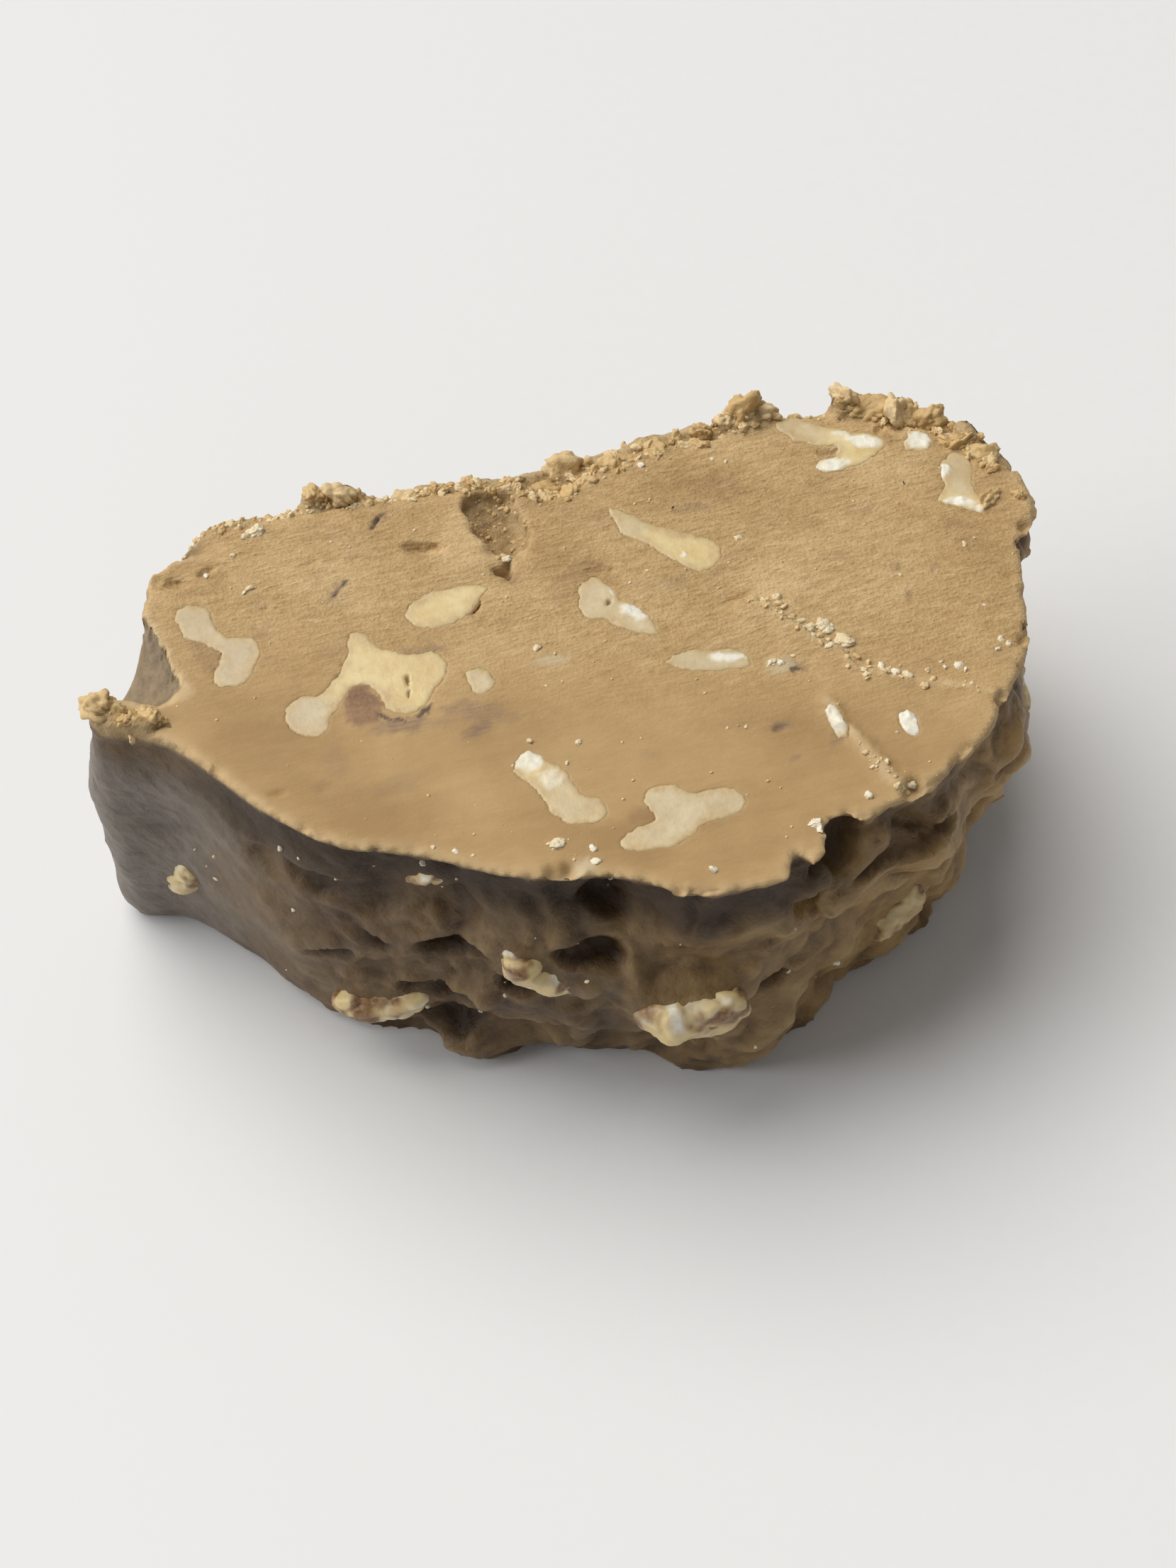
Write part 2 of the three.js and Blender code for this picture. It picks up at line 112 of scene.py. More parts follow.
# The band along the loaf's underside where the cut has crumbled: its inner edge, then round outside
CRUMBLED_FROM = [
    (-46, 21.5), (-42, 23), (-37, 25.2), (-28, 25.6), (-20, 25.4), (-10, 25), (-4, 24.2), (-1, 21.6),
    (3, 22), (6, 24.2), (12, 25.4), (20, 26.4), (27, 28.2), (36, 27.2), (41, 24.8), (45.5, 22.5),
    (47.6, 19.6), (49.5, 16),
]
CRUMBLED_AROUND = [(60, 16), (60, 40), (-60, 40), (-60, 21.5)]
CRUMBLED_DEPTH = 0.45

# The crumbled lip behind the left corner, and the scoop of bare crust behind that
LIP = [(-44.6, 0.8), (-47.5, 0), (-55, 1), (-55, 8.5), (-50.6, 6), (-49, 3.6), (-45.4, 2.6)]
LIP_HEIGHT = 1.2
SCOOP_EDGE = [(-42.1, 4.9), (-42.6, 6), (-43.3, 7.6), (-43.8, 10.6), (-44.7, 13.4), (-45.3, 15)]
SCOOP_FRONT = [(-58, 8), (-50.4, 5.6), (-45.2, 3), (-42.1, 4.9)]
SCOOP = SCOOP_EDGE + [(-58, 18)] + SCOOP_FRONT[:-1]
SCOOP_DEPTH = 7.0
SCOOP_REACH = 6.0  # from its sharp edge to its deepest part
SCOOP_RISE = 4.0  # over which its floor rises to the cut in front
# The crust's wall behind the scoop, and the middle and half sizes of the solid's own, rounder scoop
SCOOP_WALL = [(-52.5, 2), (-52.4, 6.4), (-48.6, 10.8), (-45.5, 15.2), (-44.4, 19.6)]
SOLID_SCOOP_MIDDLE = (-51.0, 10.2, 42.5)
SOLID_SCOOP_HALF = (8.6, 6.2, 9.5)

# Broad tones of the cut, lighter and darker than the rest, in the same form as the pits
LIGHT_CLOUDS = [
    (-11, 19.5, 3.2, 4, 0, 0.8), (-27, 18, 9, 5, 10, 0.25), (21, 4, 5, 4, 0, 0.5), (31, 8, 8, 6, 0, 0.25),
    (38, 19, 6, 3, 0, 0.35), (-10, 4, 4, 3, 0, 0.4),
]
DARK_CLOUDS = [
    (15, 20, 8, 3.5, 0, 0.55), (0, 11.5, 3.5, 6, 0, 0.45), (-34, 0, 8, 7, 0, 0.75),
    (-26, -14, 11, 4, -35, 0.4), (44, 6, 5, 16, 10, 0.35), (32, -19, 6, 4, 0, 0.4), (-13, -6, 8, 5, 0, 0.5),
    (0, -4, 5, 4, 0, 0.35), (20, -13, 6, 4, 0, 0.35), (0, -22, 6, 3, 0, 0.55),
]

# Stains on the cut: x, y, half length, half width, turn in degrees, strength
MAUVE_STAINS = [
    (-21.2, -3.9, 3, 0.9, 2, 0.75), (-13.6, -6.2, 1.8, 0.6, 22, 0.75), (-12.6, -4.4, 2.6, 1, -4, 0.5),
    (-14.2, -3.2, 3.2, 0.6, -6, 0.55), (-17.2, 4.9, 2.4, 0.6, -14, 0.5), (-28.6, -7, 1.3, 2.2, 0, 0.3),
    (-23, -11, 2.6, 1.1, 10, 0.25), (-18.6, 22.6, 1.2, 0.7, 40, 0.5), (-24.9, 14.4, 1.2, 0.6, 50, 0.55),
    (17, -12.2, 1.2, 0.8, 0, 0.75), (17.4, -16, 0.6, 0.4, 20, 0.55), (3, -12.7, 0.8, 0.6, 0, 0.3),
    (5.8, -2.7, 0.5, 0.35, 0, 0.6), (20.8, -5.1, 1.1, 0.5, -20, 0.6), (22.3, -15, 0.5, 0.9, -20, 0.6),
    (26.5, -16.2, 0.6, 0.5, 0, 0.4), (34.8, 5, 0.45, 0.5, 0, 0.75), (35.2, 1.2, 0.55, 0.6, 0, 0.6),
    (39, 4.2, 0.4, 0.35, 0, 0.6), (15.4, 17.5, 2.2, 0.5, -6, 0.45), (33, 13.6, 1.8, 0.4, -8, 0.35),
    (10.8, 8.2, 1.8, 0.8, 0, 0.3), (18.6, 20.2, 2.4, 0.35, 3, 0.4), (-30.5, -1.2, 0.9, 0.5, 30, 0.2),
    (-11, -5, 2.2, 0.9, -10, 0.35), (-17.5, -4.4, 2.4, 0.8, 0, 0.35),
]
BROWN_STAINS = [
    (0.6, -19.6, 1.4, 1, 20, 0.35), (-33.5, 10.4, 1.2, 0.4, -50, 0.35), (2.6, 12.4, 1.5, 0.35, -20, 0.5),
    (32.4, 22.2, 1.3, 0.4, 0, 0.5), (-11.2, 8.8, 0.8, 0.4, 50, 0.6), (-22.5, 18.6, 3, 0.25, 6, 0.3),
    (39.6, 22.6, 0.7, 1.2, 0, 0.35), (-26.6, 3, 0.5, 1.2, 40, 0.3), (8, 15.6, 3.2, 0.4, -50, 0.2),
    (15.6, 8.4, 1.8, 0.4, 30, 0.3), (-6.4, 12.6, 1.2, 1, 0, 0.5), (-6, 19.8, 2.6, 4.2, 0, 0.35),
    (-14.7, 18.7, 1.9, 0.22, -14, 0.6), (-41.4, 18.8, 1.4, 0.5, -10, 0.3), (-37.9, 19.7, 1, 0.3, 14, 0.3),
    (-30.5, -9.5, 0.7, 0.5, 0, 0.3),
]
PALE_STAINS = [(-4.2, 0.9, 1.9, 0.7, 4, 0.6), (19, -4.7, 1.6, 0.9, 0, 0.6), (-6.6, -24.4, 1.2, 0.7, 0, 0.7)]

# Patches of brown skin beside two of the sliced walnut pieces, and thin dark lines of skin
BROWN_PATCHES = [
    [(-26.6, -0.2), (-25.8, 1.8), (-23.8, 1.8), (-22.7, -0.8), (-22.8, -2.4), (-25.5, -3.3), (-27, -2.1)],
    [(-41.2, 11.3), (-38.9, 10.7), (-37.3, 9.4), (-37.9, 8.3), (-39.2, 6), (-39.9, 6.6), (-40.6, 9.4)],
]
BROWN_PATCH_SHARES = [1.0, 0.4]
DARK_LINES = [
    [(-23.2, -2.4), (-22, -3.1), (-20.8, -3.4)], [(-19.3, -3.2), (-18.5, -2.7), (-17.9, -2)],
    [(-19.5, 21.9), (-18.9, 22.9), (-17.7, 23.7)], [(-25.2, 13.8), (-24.4, 14.6), (-23.5, 15.5)],
    [(20.2, -5.3), (20.9, -5.6)],
]

# On the sliced walnut pieces, in the same form: white chips, greyish clouds and ends under a film of fudge
WHITE_CHIPS = [
    (32.2, 20.3, 1.9, 0.9, 5, 1), (36.4, 23, 2, 0.8, -25, 1), (34.2, 24.6, 1, 0.5, -25, 0.8),
    (44.1, 16.9, 0.8, 0.9, 0, 1), (44.6, 12.4, 1.8, 0.6, -15, 1), (46.4, 11, 1.2, 0.5, -20, 0.8),
    (5.7, 5, 1.6, 0.7, -40, 1), (4.2, 8.2, 0.5, 0.9, 10, 0.8), (42.8, 21.8, 1.5, 1.2, 0, 0.9),
    (14, -2.6, 2.2, 0.6, -12, 0.9), (30.4, -14.6, 2, 2.8, 0, 1), (-9.4, -10.8, 1.6, 1.4, 0, 0.9),
    (-7.4, -13.4, 1.4, 1.2, 0, 0.5), (12.9, 11.4, 0.4, 0.4, 0, 0.9), (22.8, -12.6, 1.2, 2.2, 0, 0.9),
]
GREY_CLOUDS = [
    (-40, 13.5, 3.2, 3.4, 0, 1), (-36.4, 7.6, 3.4, 4.2, 0, 1), (-30.8, -1, 3.2, 3.6, 0, 1),
    (11.8, -2.7, 6, 2.6, 0, 0.9), (-5.5, -16.4, 3.4, 3.2, -45, 0.7), (4.4, -20, 9, 4.6, 0, 0.85),
    (2.6, 7.6, 3.4, 4, 0, 0.8), (6, 3.6, 2.6, 2.4, 0, 0.8), (45.4, 16.4, 2.6, 3.4, 0, 0.8),
    (29.6, 25.4, 3, 2.6, 0, 0.7), (8, 17, 2.4, 2.4, 0, 0.7), (-12, -0.4, 2, 2.2, 0, 0.8),
    (42.6, 21.6, 3, 2.4, 0, 0.6), (22.9, -13, 1.6, 3, 0, 0.4),
]
FILMED_ENDS = [
    (-40.2, 13.2, 2.5, 2.5, 0, 0.35), (6.8, 18.4, 1.8, 2.2, -45, 0.8), (16.6, 10.8, 1.5, 2, 0, 0.6),
    (7.2, -2.4, 1.6, 1.4, 0, 0.7), (-35.6, 5.2, 2.4, 1.5, 0, 0.65), (-34.2, 8.6, 1, 2, 0, 0.5),
    (-22.3, 7.4, 2.4, 1.3, -20, 0.75), (-3.4, -18.2, 1.8, 1.6, 0, 0.6), (-1.9, -22.8, 1.6, 1.2, 0, 0.5),
    (47, 11, 1.4, 0.9, -20, 0.7), (41.2, 21.4, 1.2, 1.6, 0, 0.6), (-15.6, 3.4, 1.2, 1.4, 0, 0.5),
    (15.8, -3.8, 1, 1, 0, 0.5),
]

# Flakes of dark walnut skin that lie in the cut: x, y, length, width, turn in degrees
SKIN_FLAKES = [
    (-18.7, 23, 1, 0.28, 55), (13.2, 18, 0.35, 0.3, 0), (39.2, 16.2, 0.5, 0.2, 60),
    (-6.4, 12.5, 1.2, 0.4, -50), (42.1, 28, 1.8, 1.1, 20), (39.4, 26.6, 1.2, 0.6, -20),
]

# Pale bits of walnut on the cut: x, y, length
NUT_BITS = [
    (-31.9, 23.9, 1.8), (-33, 23.6, 1.1), (-33.6, 16.6, 1.1), (-34.4, 16.2, 0.7), (-6, 15, 1.2),
    (-5.2, 16.2, 0.8), (-5.5, 2.7, 1), (19.2, 12.5, 0.9), (43.2, 6.6, 0.7), (11.2, 24.5, 0.8),
    (18.4, -4.1, 1.4), (19.3, -4.4, 0.9), (20.8, -3.8, 0.5), (-8.8, -8.5, 0.8), (-3.8, -9.8, 0.8),
    (-5.6, -12, 0.6), (-8.7, -21.2, 1.6), (-5.3, -22.4, 0.9), (6, -27.4, 1.1), (17.5, -24.3, 1.4),
    (23.6, -22.2, 1), (28.4, -21.5, 1), (37.7, -8.7, 1), (36, -7.8, 0.5), (25.1, -0.7, 2.1),
    (25.4, -1.6, 1.2), (25.7, -0.9, 0.7), (26.5, -2.9, 2), (27.1, -3.6, 1.2), (30.8, -8, 1), (32, -8.8, 1.1),
    (34.3, -8.6, 0.7), (27.4, -7.5, 0.7), (29.6, -7, 0.9), (23, 0.4, 1.1), (23.2, -1, 2.2),
    (23.5, -1.9, 0.8), (24.8, -3.8, 0.9), (-20.4, 25.6, 1.1), (-24.2, 20.9, 0.4), (-38, 19.1, 0.7),
    (-34.8, 21.3, 0.7), (44.6, 7.2, 0.4), (45.6, 23.6, 0.9), (20.6, 23.1, 0.5), (19.2, 23.8, 0.5),
    (15.4, 6.4, 0.4), (42.8, -1.7, 0.4), (43.2, -6.4, 1), (42.4, -7.4, 0.7), (13.6, -11.5, 0.5),
    (8.4, 10.2, 0.5), (6.2, 9, 0.4), (-50.9, 4.6, 1.1), (-21, -19, 0.6), (-18.8, -19.9, 0.7),
    (-17.2, -20.8, 0.5), (-5.4, -24, 1), (17.6, -25, 0.9), (47.7, -2.4, 0.6), (43.7, -7.1, 0.8),
    (38.2, -9.3, 0.7), (36.2, -8.5, 0.6), (26.5, -3.5, 0.9),
]

# Larger crumbs of fudge on the edge: x, y, length
CHUNKS = [
    (24.2, 29.2, 5), (26.4, 29.2, 3.6), (22.2, 28.6, 2.6), (19.1, 28, 2.8), (35.8, 29.2, 3.4),
    (37.4, 28.2, 4), (39.4, 27.4, 4.2), (41.4, 26, 3.4), (43.2, 25.8, 3.4), (44.8, 25, 3.2),
    (41.6, 24.8, 1.8), (47.4, 20.8, 3.4), (48.2, 19.6, 2.6), (49.2, 18.4, 3.6), (49.5, 16.8, 2.6),
    (48, 12.2, 2.6), (51.2, 11.9, 1.8), (-21.9, 27.2, 3.6), (-20.3, 26.6, 2), (-19.7, 25.8, 1.6),
    (-15, 26.4, 2.4), (-25, 27.6, 2.8), (3, 27, 3.4), (-0.1, 23.8, 3.6), (2.4, 22.6, 2.8), (13.4, 27.2, 3),
    (7.8, 25.6, 2.6), (10.2, 26.6, 2.4), (5.2, 24.4, 2.4), (16.2, 27.8, 2.2), (-50.7, 5.3, 2.6),
    (-51.4, 4.3, 3), (-49.9, 3.1, 2.8), (-47.9, 2.3, 2.6), (-46.2, 1.9, 2), (-48.9, 2.2, 2), (-47, 2.9, 1.8),
    (-45.2, 1.6, 1.4), (-6.4, 15.4, 1.8),
]

# Crumbs in each place, before those that would lie beside the slice or too deep are left out
EDGE_CRUMBS = 520
RIM_CRUMBS = 150
CRATER_CRUMBS = 120
LIP_CRUMBS = 40
FLAP_CRUMBS = 80
RIDGE_CRUMBS = 30
DUST_CRUMBS = 300
WALL_SPECKS = 36
FINE_CRUMBS_UP_TO = -12  # x of the place where the edge's crumbs turn coarse
FINER_FROM = (0.22, 0.6, 1.3)  # lengths from which a crumb's mesh is a step finer

# Colours of small bits by their tone: tone, r, g, b
FUDGE_CRUMB_STOPS = [(0.2, 0.5, 0.31, 0.115), (0.5, 0.655, 0.45, 0.2), (0.8, 0.83, 0.66, 0.4)]
WALNUT_BIT_STOPS = [(0.25, 0.76, 0.6, 0.36), (0.5, 0.84, 0.72, 0.5), (0.75, 0.9, 0.81, 0.63)]

# Turns of the knife's streaks and of the crust's wrinkles, in degrees round x, y and z
KNIFE_TURN = (0, 0, 5)
WRINKLE_TURN = (0, 50, -37)

# The floor's half size in metres, and the camera: its place and target on the section, its lens and its roll
FLOOR_HALF = 3.0
CAMERA_PLACE = (-41.8, -144.4, 253.8)
CAMERA_TARGET = (0.0, -1.0, 17.0)
CAMERA_LENS = 57.0
CAMERA_SENSOR = 36.0
CAMERA_ROLL = 3.6  # degrees

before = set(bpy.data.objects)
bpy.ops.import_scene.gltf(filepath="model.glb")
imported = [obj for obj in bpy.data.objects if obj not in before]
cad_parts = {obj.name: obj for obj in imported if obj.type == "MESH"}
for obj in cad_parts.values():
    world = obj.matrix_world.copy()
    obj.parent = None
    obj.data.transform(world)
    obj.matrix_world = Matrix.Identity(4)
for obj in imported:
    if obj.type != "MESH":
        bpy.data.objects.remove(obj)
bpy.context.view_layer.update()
rng = np.random.default_rng(SEED)

WALNUTS = [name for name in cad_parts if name.startswith("walnut")]
CRUST_WALNUTS = [name for name in WALNUTS if "crust" in name]
LOWER_WALNUTS = [name for name in WALNUTS if "lower" in name]
UPPER_WALNUTS = [name for name in WALNUTS if name not in CRUST_WALNUTS + LOWER_WALNUTS]


def smoothstep(low, high, value):
    """0 below low, 1 above high and a smooth rise between them. Low may be the larger of the two."""
    share = np.clip((value - low) / (high - low), 0.0, 1.0)
    return share * share * (3 - 2 * share)


def noise_at(points, size, offset=0.0):
    """Smooth noise from about -1 to 1 at each point, with lumps of about the given size or sizes."""
    return np.array([noise.noise(p) for p in (points / size + offset).tolist()])


def rough_at(points, size, octaves=3, offset=0.0):
    """Noise with finer noise on it, from about -1 to 1."""
    total = np.zeros(len(points))
    for octave in range(octaves):
        total += noise_at(points, np.asarray(size) / 2**octave, offset + OCTAVE_SHIFT * octave) / 2**octave
    return total / 1.6


def wander(points, size, offset):
    """A sideways step in x and y at each point, from about -1 to 1."""
    return np.column_stack([noise_at(points, size, offset), noise_at(points, size, offset + SIDEWAYS_SHIFT)])


def stretches(path, closed):
    """The straight stretches of a path, as pairs of ends. What is in pairs already stays as it is."""
    path = np.asarray(path, float)
    if path.ndim == 3:
        return path
    pairs = np.stack([path, np.roll(path, -1, axis=0)], axis=1)
    return pairs if closed else pairs[:-1]


def distance_to(path, places, closed=False):
    """Distance from each place to the nearest stretch of a path."""
    best = np.full(len(places), np.inf)
    for start, end in stretches(path, closed):
        run = end - start
        share = np.clip((places - start) @ run / (run @ run), 0.0, 1.0)
        best = np.minimum(best, np.linalg.norm(places - start - share[:, None] * run, axis=1))
    return best


def depth_inside(outline, places):
    """Distance from each place to a closed outline, positive inside it and negative outside."""
    inside = np.zeros(len(places), bool)
    x, y = places.T
    for (ax, ay), (bx, by) in stretches(outline, closed=True):
        if ay != by:
            crosses = (ay > y) != (by > y)
            inside ^= crosses & (x < ax + (y - ay) * (bx - ax) / (by - ay))
    return np.where(inside, 1.0, -1.0) * distance_to(outline, places, closed=True)


def spots(table, places, inner=0.7, outer=1.3):
    """How strongly the spots of a table cover each place: fully up to the inner share of a spot's size."""
    cover = np.zeros(len(places))
    for x, y, half_length, half_width, turn, strength in table:
        away = places - (x, y)
        angle = math.radians(turn)
        along = (away[:, 0] * math.cos(angle) + away[:, 1] * math.sin(angle)) / half_length
        across = (away[:, 1] * math.cos(angle) - away[:, 0] * math.sin(angle)) / half_width
        cover = np.maximum(cover, strength * smoothstep(outer, inner, np.hypot(along, across)))
    return cover


def new_object(name, data):
    thing = bpy.data.objects.new(name, data)
    bpy.context.scene.collection.objects.link(thing)
    return thing


def mesh_of(name, shape):
    """A new mesh of a bmesh, which is used up."""
    mesh = bpy.data.meshes.new(name)
    shape.to_mesh(mesh)
    shape.free()
    return mesh


def welded_copy(node):
    """The mesh of a CAD node with its split vertices joined, as a new bmesh."""
    welded = bmesh.new()
    welded.from_mesh(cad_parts[node].data)
    bmesh.ops.remove_doubles(welded, verts=welded.verts, dist=WELD_DISTANCE)
    bmesh.ops.recalc_face_normals(welded, faces=welded.faces)
    welded.normal_update()
    return welded


def grown_copy(node, margin):
    """A welded copy with every vertex moved out along its normal, but not past either cut."""
    welded = welded_copy(node)
    for vertex in welded.verts:
        vertex.co += vertex.normal * margin * MM
        vertex.co.z = min(max(vertex.co.z, 0.0), THICKNESS * MM)
    return welded


def cut_outline(node, level):
    """The outline of a walnut piece on the cut at a level: pairs of ends in the part's frame."""
    welded = welded_copy(node)
    pairs = []
    for edge in welded.edges:
        on_cut = all(abs(vertex.co.z / MM - level) < 0.05 for vertex in edge.verts)
        flat = [abs(face.normal.z) > 0.9 for face in edge.link_faces]
        if on_cut and any(flat) and not all(flat):
            pairs.append([vertex.co.xy for vertex in edge.verts])
    welded.free()
    return np.array(pairs) / MM


def remesh(name, source, voxel):
    """A new object with an even, closed mesh over a bmesh's overlapping solids. The bmesh is used up."""
    mesh = mesh_of(name, source)
    rough = new_object(name + "_rough", mesh)
    modifier = rough.modifiers.new("remesh", "REMESH")
    modifier.mode = "VOXEL"
    modifier.voxel_size = voxel * MM
    modifier.use_smooth_shade = True
    evaluated = rough.evaluated_get(bpy.context.evaluated_depsgraph_get())
    even = bpy.data.meshes.new_from_object(evaluated)
    bpy.data.objects.remove(rough)
    bpy.data.meshes.remove(mesh)
    even.name = name
    even.materials.clear()
    return new_object(name, even)


def vertex_rows(mesh, what):
    rows = np.empty(len(mesh.vertices) * 3)
    mesh.vertices.foreach_get(what, rows)
    return rows.reshape(-1, 3)


def points_of(mesh):
    return vertex_rows(mesh, "co") / MM


def normals_of(mesh):
    return vertex_rows(mesh, "normal")


def on_section(points):
    """The places of points of the part in the frame of the loaf's section."""
    return points[:, :2] - SECTION_SHIFT


def move_points(mesh, points):
    mesh.vertices.foreach_set("co", (points * MM).ravel())
    mesh.update()


def set_attributes(mesh, **rows):
    """Keeps a number for each vertex under each name, for the materials to read."""
    for name, values in rows.items():
        attribute = mesh.attributes.new(name, "FLOAT", "POINT")
        attribute.data.foreach_set("value", np.asarray(values, np.float32))


def smoothed(mesh, values, weight, rounds):
    """The rows of values after each has moved towards its neighbours' mean, by its weight, a few times."""
    edges = np.empty(len(mesh.edges) * 2, int)
    mesh.edges.foreach_get("vertices", edges)
    first, second = edges.reshape(-1, 2).T
    count = len(values)
    neighbours = np.bincount(first, minlength=count) + np.bincount(second, minlength=count)
    for _ in range(rounds):
        mean = np.empty_like(values)
        for column, row in enumerate(values.T):
            total = np.bincount(first, row[second], count) + np.bincount(second, row[first], count)
            mean[:, column] = total / neighbours
        values = values + (mean - values) * weight[:, None]
    return values


def refine(mesh, wanted, spare):
    """Splits the edges between wanted vertices once, and melts the spare vertices of a flat area away."""
    fine = bmesh.new()
    fine.from_mesh(mesh)
    edges = [edge for edge in fine.edges if all(wanted[vertex.index] for vertex in edge.verts)]
    flat = [vertex for vertex in fine.verts if spare[vertex.index]]
    flat_edges = [edge for edge in fine.edges if any(spare[vertex.index] for vertex in edge.verts)]
    bmesh.ops.dissolve_limit(fine, angle_limit=FLAT_ANGLE, verts=flat, edges=flat_edges)
    edges = [edge for edge in edges if edge.is_valid]
    bmesh.ops.subdivide_edges(fine, edges=edges, cuts=1, use_grid_fill=True)
    fine.to_mesh(mesh)
    fine.free()
    mesh.update()


def crumbled_share(places):
    """1 where the cut's edge has crumbled away, and 0 on the clean cut."""
    back = depth_inside(CRUMBLED_FROM + CRUMBLED_AROUND, places)
    return np.maximum(smoothstep(-0.15, 0.5, back), smoothstep(-0.2, 0.5, depth_inside(LIP, places)))


def torn_edge(points, places):
    """Places moved to and fro sideways, so that what is drawn at them has a torn edge."""
    return places + 0.45 * wander(points, 2.4, 3.1) + 0.3 * wander(points, 0.9, 1.1)


def knife_relief(points, places):
    """Height of the knife's marks and the flap on the upper cut, on the fudge and the walnut alike."""
    height = 0.09 * noise_at(points, 9.0) + 0.05 * rough_at(points, (6.0, 0.9, 0.9))
    height += 0.03 * rough_at(points, 1.1, offset=4.0)
    ragged = torn_edge(points, places)
    inside = depth_inside(FLAP_TORN_EDGE + FLAP_SOFT_EDGE, ragged)
    torn = distance_to(FLAP_TORN_EDGE, ragged)
    lift = np.where(torn < 2.5, smoothstep(-0.1, 0.35, inside), smoothstep(-0.8, 1.6, inside))
    height += FLAP_HEIGHT * lift * (0.4 + 0.6 * smoothstep(6.0, 0.0, torn))
    crest = smoothstep(1.4, 0.1, torn) * smoothstep(-0.3, 0.3, inside)
    height += crest * (0.1 + 0.6 * np.abs(noise_at(points, 1.3, 37.0)))
    ridge = smoothstep(1.5, 0.2, distance_to(FLAP_RIDGE, ragged))
    return height + FLAP_RIDGE_HEIGHT * ridge * (0.75 + 0.7 * np.abs(noise_at(points, 1.1, 39.0)))


def walnut_warp(places):
    """The sideways step that makes the outlines of the sliced walnut pieces ragged."""
    flat = np.column_stack([places, np.zeros(len(places))])
    return 0.35 * wander(flat, 1.8, 6.0) + 0.2 * wander(flat, 0.75, 2.0) + 0.07 * wander(flat, 0.3, 9.0)


def cut_relief(points, places):
    """Height of the fine relief on the fudge's upper cut, and how broken the cut is, from 0 to 1."""
    ragged = torn_edge(points, places)
    height = knife_relief(points, places)
    height -= PIT_DEPTH * spots(PITS, places + 0.3 * (ragged - places))

    crater = smoothstep(-0.1, 0.5, depth_inside(CRATER, ragged))
    crack = smoothstep(-0.1, 0.5, depth_inside(CRACK, ragged))
    edge = crumbled_share(ragged)
    broken = np.maximum.reduce([crater, crack, edge])
    height -= CRATER_DEPTH * crater + CRACK_DEPTH * crack + CRUMBLED_DEPTH * edge
    height += LIP_HEIGHT * smoothstep(-0.2, 0.9, depth_inside(LIP, ragged))
    lumps = 0.5 * rough_at(points, 3.2, octaves=2, offset=2.0) + 0.3 * rough_at(points, 1.1, offset=9.0)
    height += broken * lumps * (0.45 + 0.55 * smoothstep(-16.0, -8.0, places[:, 0]))
    return height, broken


def near_crust_walnut(points):
    """1 at the points on a walnut piece in the crust, falling to 0 at some distance from it."""
    near = np.zeros(len(points))
    for node in CRUST_WALNUTS:
        welded = welded_copy(node)
        tree = BVHTree.FromBMesh(welded)
        welded.free()
        low, high = (np.array(corner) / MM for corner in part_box(node))
        for i in np.flatnonzero(np.all((points > low - 2) & (points < high + 2), axis=1)):
            near[i] = max(near[i], smoothstep(2.0, 0.6, tree.find_nearest(Vector(points[i] * MM))[3] / MM))
    return near


def crust_relief(points):
    """How far the crust's lumps, folds and caves stand out at each point."""
    depth = THICKNESS - points[:, 2]
    smooth = smoothstep(-28.0, -40.0, points[:, 0])
    underside = smoothstep(23.0, 27.0, points[:, 1])
    craggy = (1 - 0.85 * smooth) * (1 - 0.6 * underside)
    bent = points + 2.2 * np.column_stack([wander(points, 7.0, 5.0), noise_at(points, 7.0, 15.0)])
    folds = 0.3 - 1.2 * np.abs(noise_at(bent @ FOLD_LEAN.T, (5.0, 5.0, 13.0), 11.0))
    lumps = 1.9 * np.abs(noise_at(bent, 6.5, 2.0)) - 0.5
    knobs = 0.9 * np.abs(noise_at(bent, 2.6, 6.0)) - 0.22
    caves = 2.0 * smoothstep(0.3, 0.5, noise_at(bent, (8.5, 8.5, 5.0), 27.0))
    dents = 0.5 * noise_at(points, 10.0, 17.0) + 0.2 * rough_at(bent, (2.0, 2.0, 3.2), offset=19.0)
    relief = craggy * (folds + lumps + knobs - caves) + (1 - craggy) * dents
    relief += 0.1 * rough_at(bent, 1.3, offset=8.0)
    undercut = smoothstep(0.5, 2.2, depth) * smoothstep(9.0, 3.5, depth)
    near_walnut = near_crust_walnut(points)
    laps = 0.3 * rough_at(points, 1.6, offset=23.0)
    return (relief - (0.4 + 0.6 * craggy) * undercut) * (1 - 0.9 * near_walnut) + laps * near_walnut


def scoop_at(points, places):
    """How far inside the scoop each place is, how deep the scoop is there, and how bare its crust is."""
    ragged = places + 0.25 * wander(points, 0.9, 1.1)
    inside = depth_inside(SCOOP, ragged)
    from_edge = distance_to(SCOOP_EDGE, ragged)
    from_front = distance_to(SCOOP_FRONT, ragged)
    steep = np.clip(1 - from_edge / SCOOP_REACH, 0.0, 1.0)
    depth = SCOOP_DEPTH * np.sqrt(1 - steep**2) * smoothstep(0.0, SCOOP_RISE, from_front)
    bare = smoothstep(-0.05, 0.15, inside) * smoothstep(0.0, 2.5, from_front)
    return inside, np.where(inside > 0, depth, 0.0), bare * smoothstep(8.0, 3.5, from_edge)


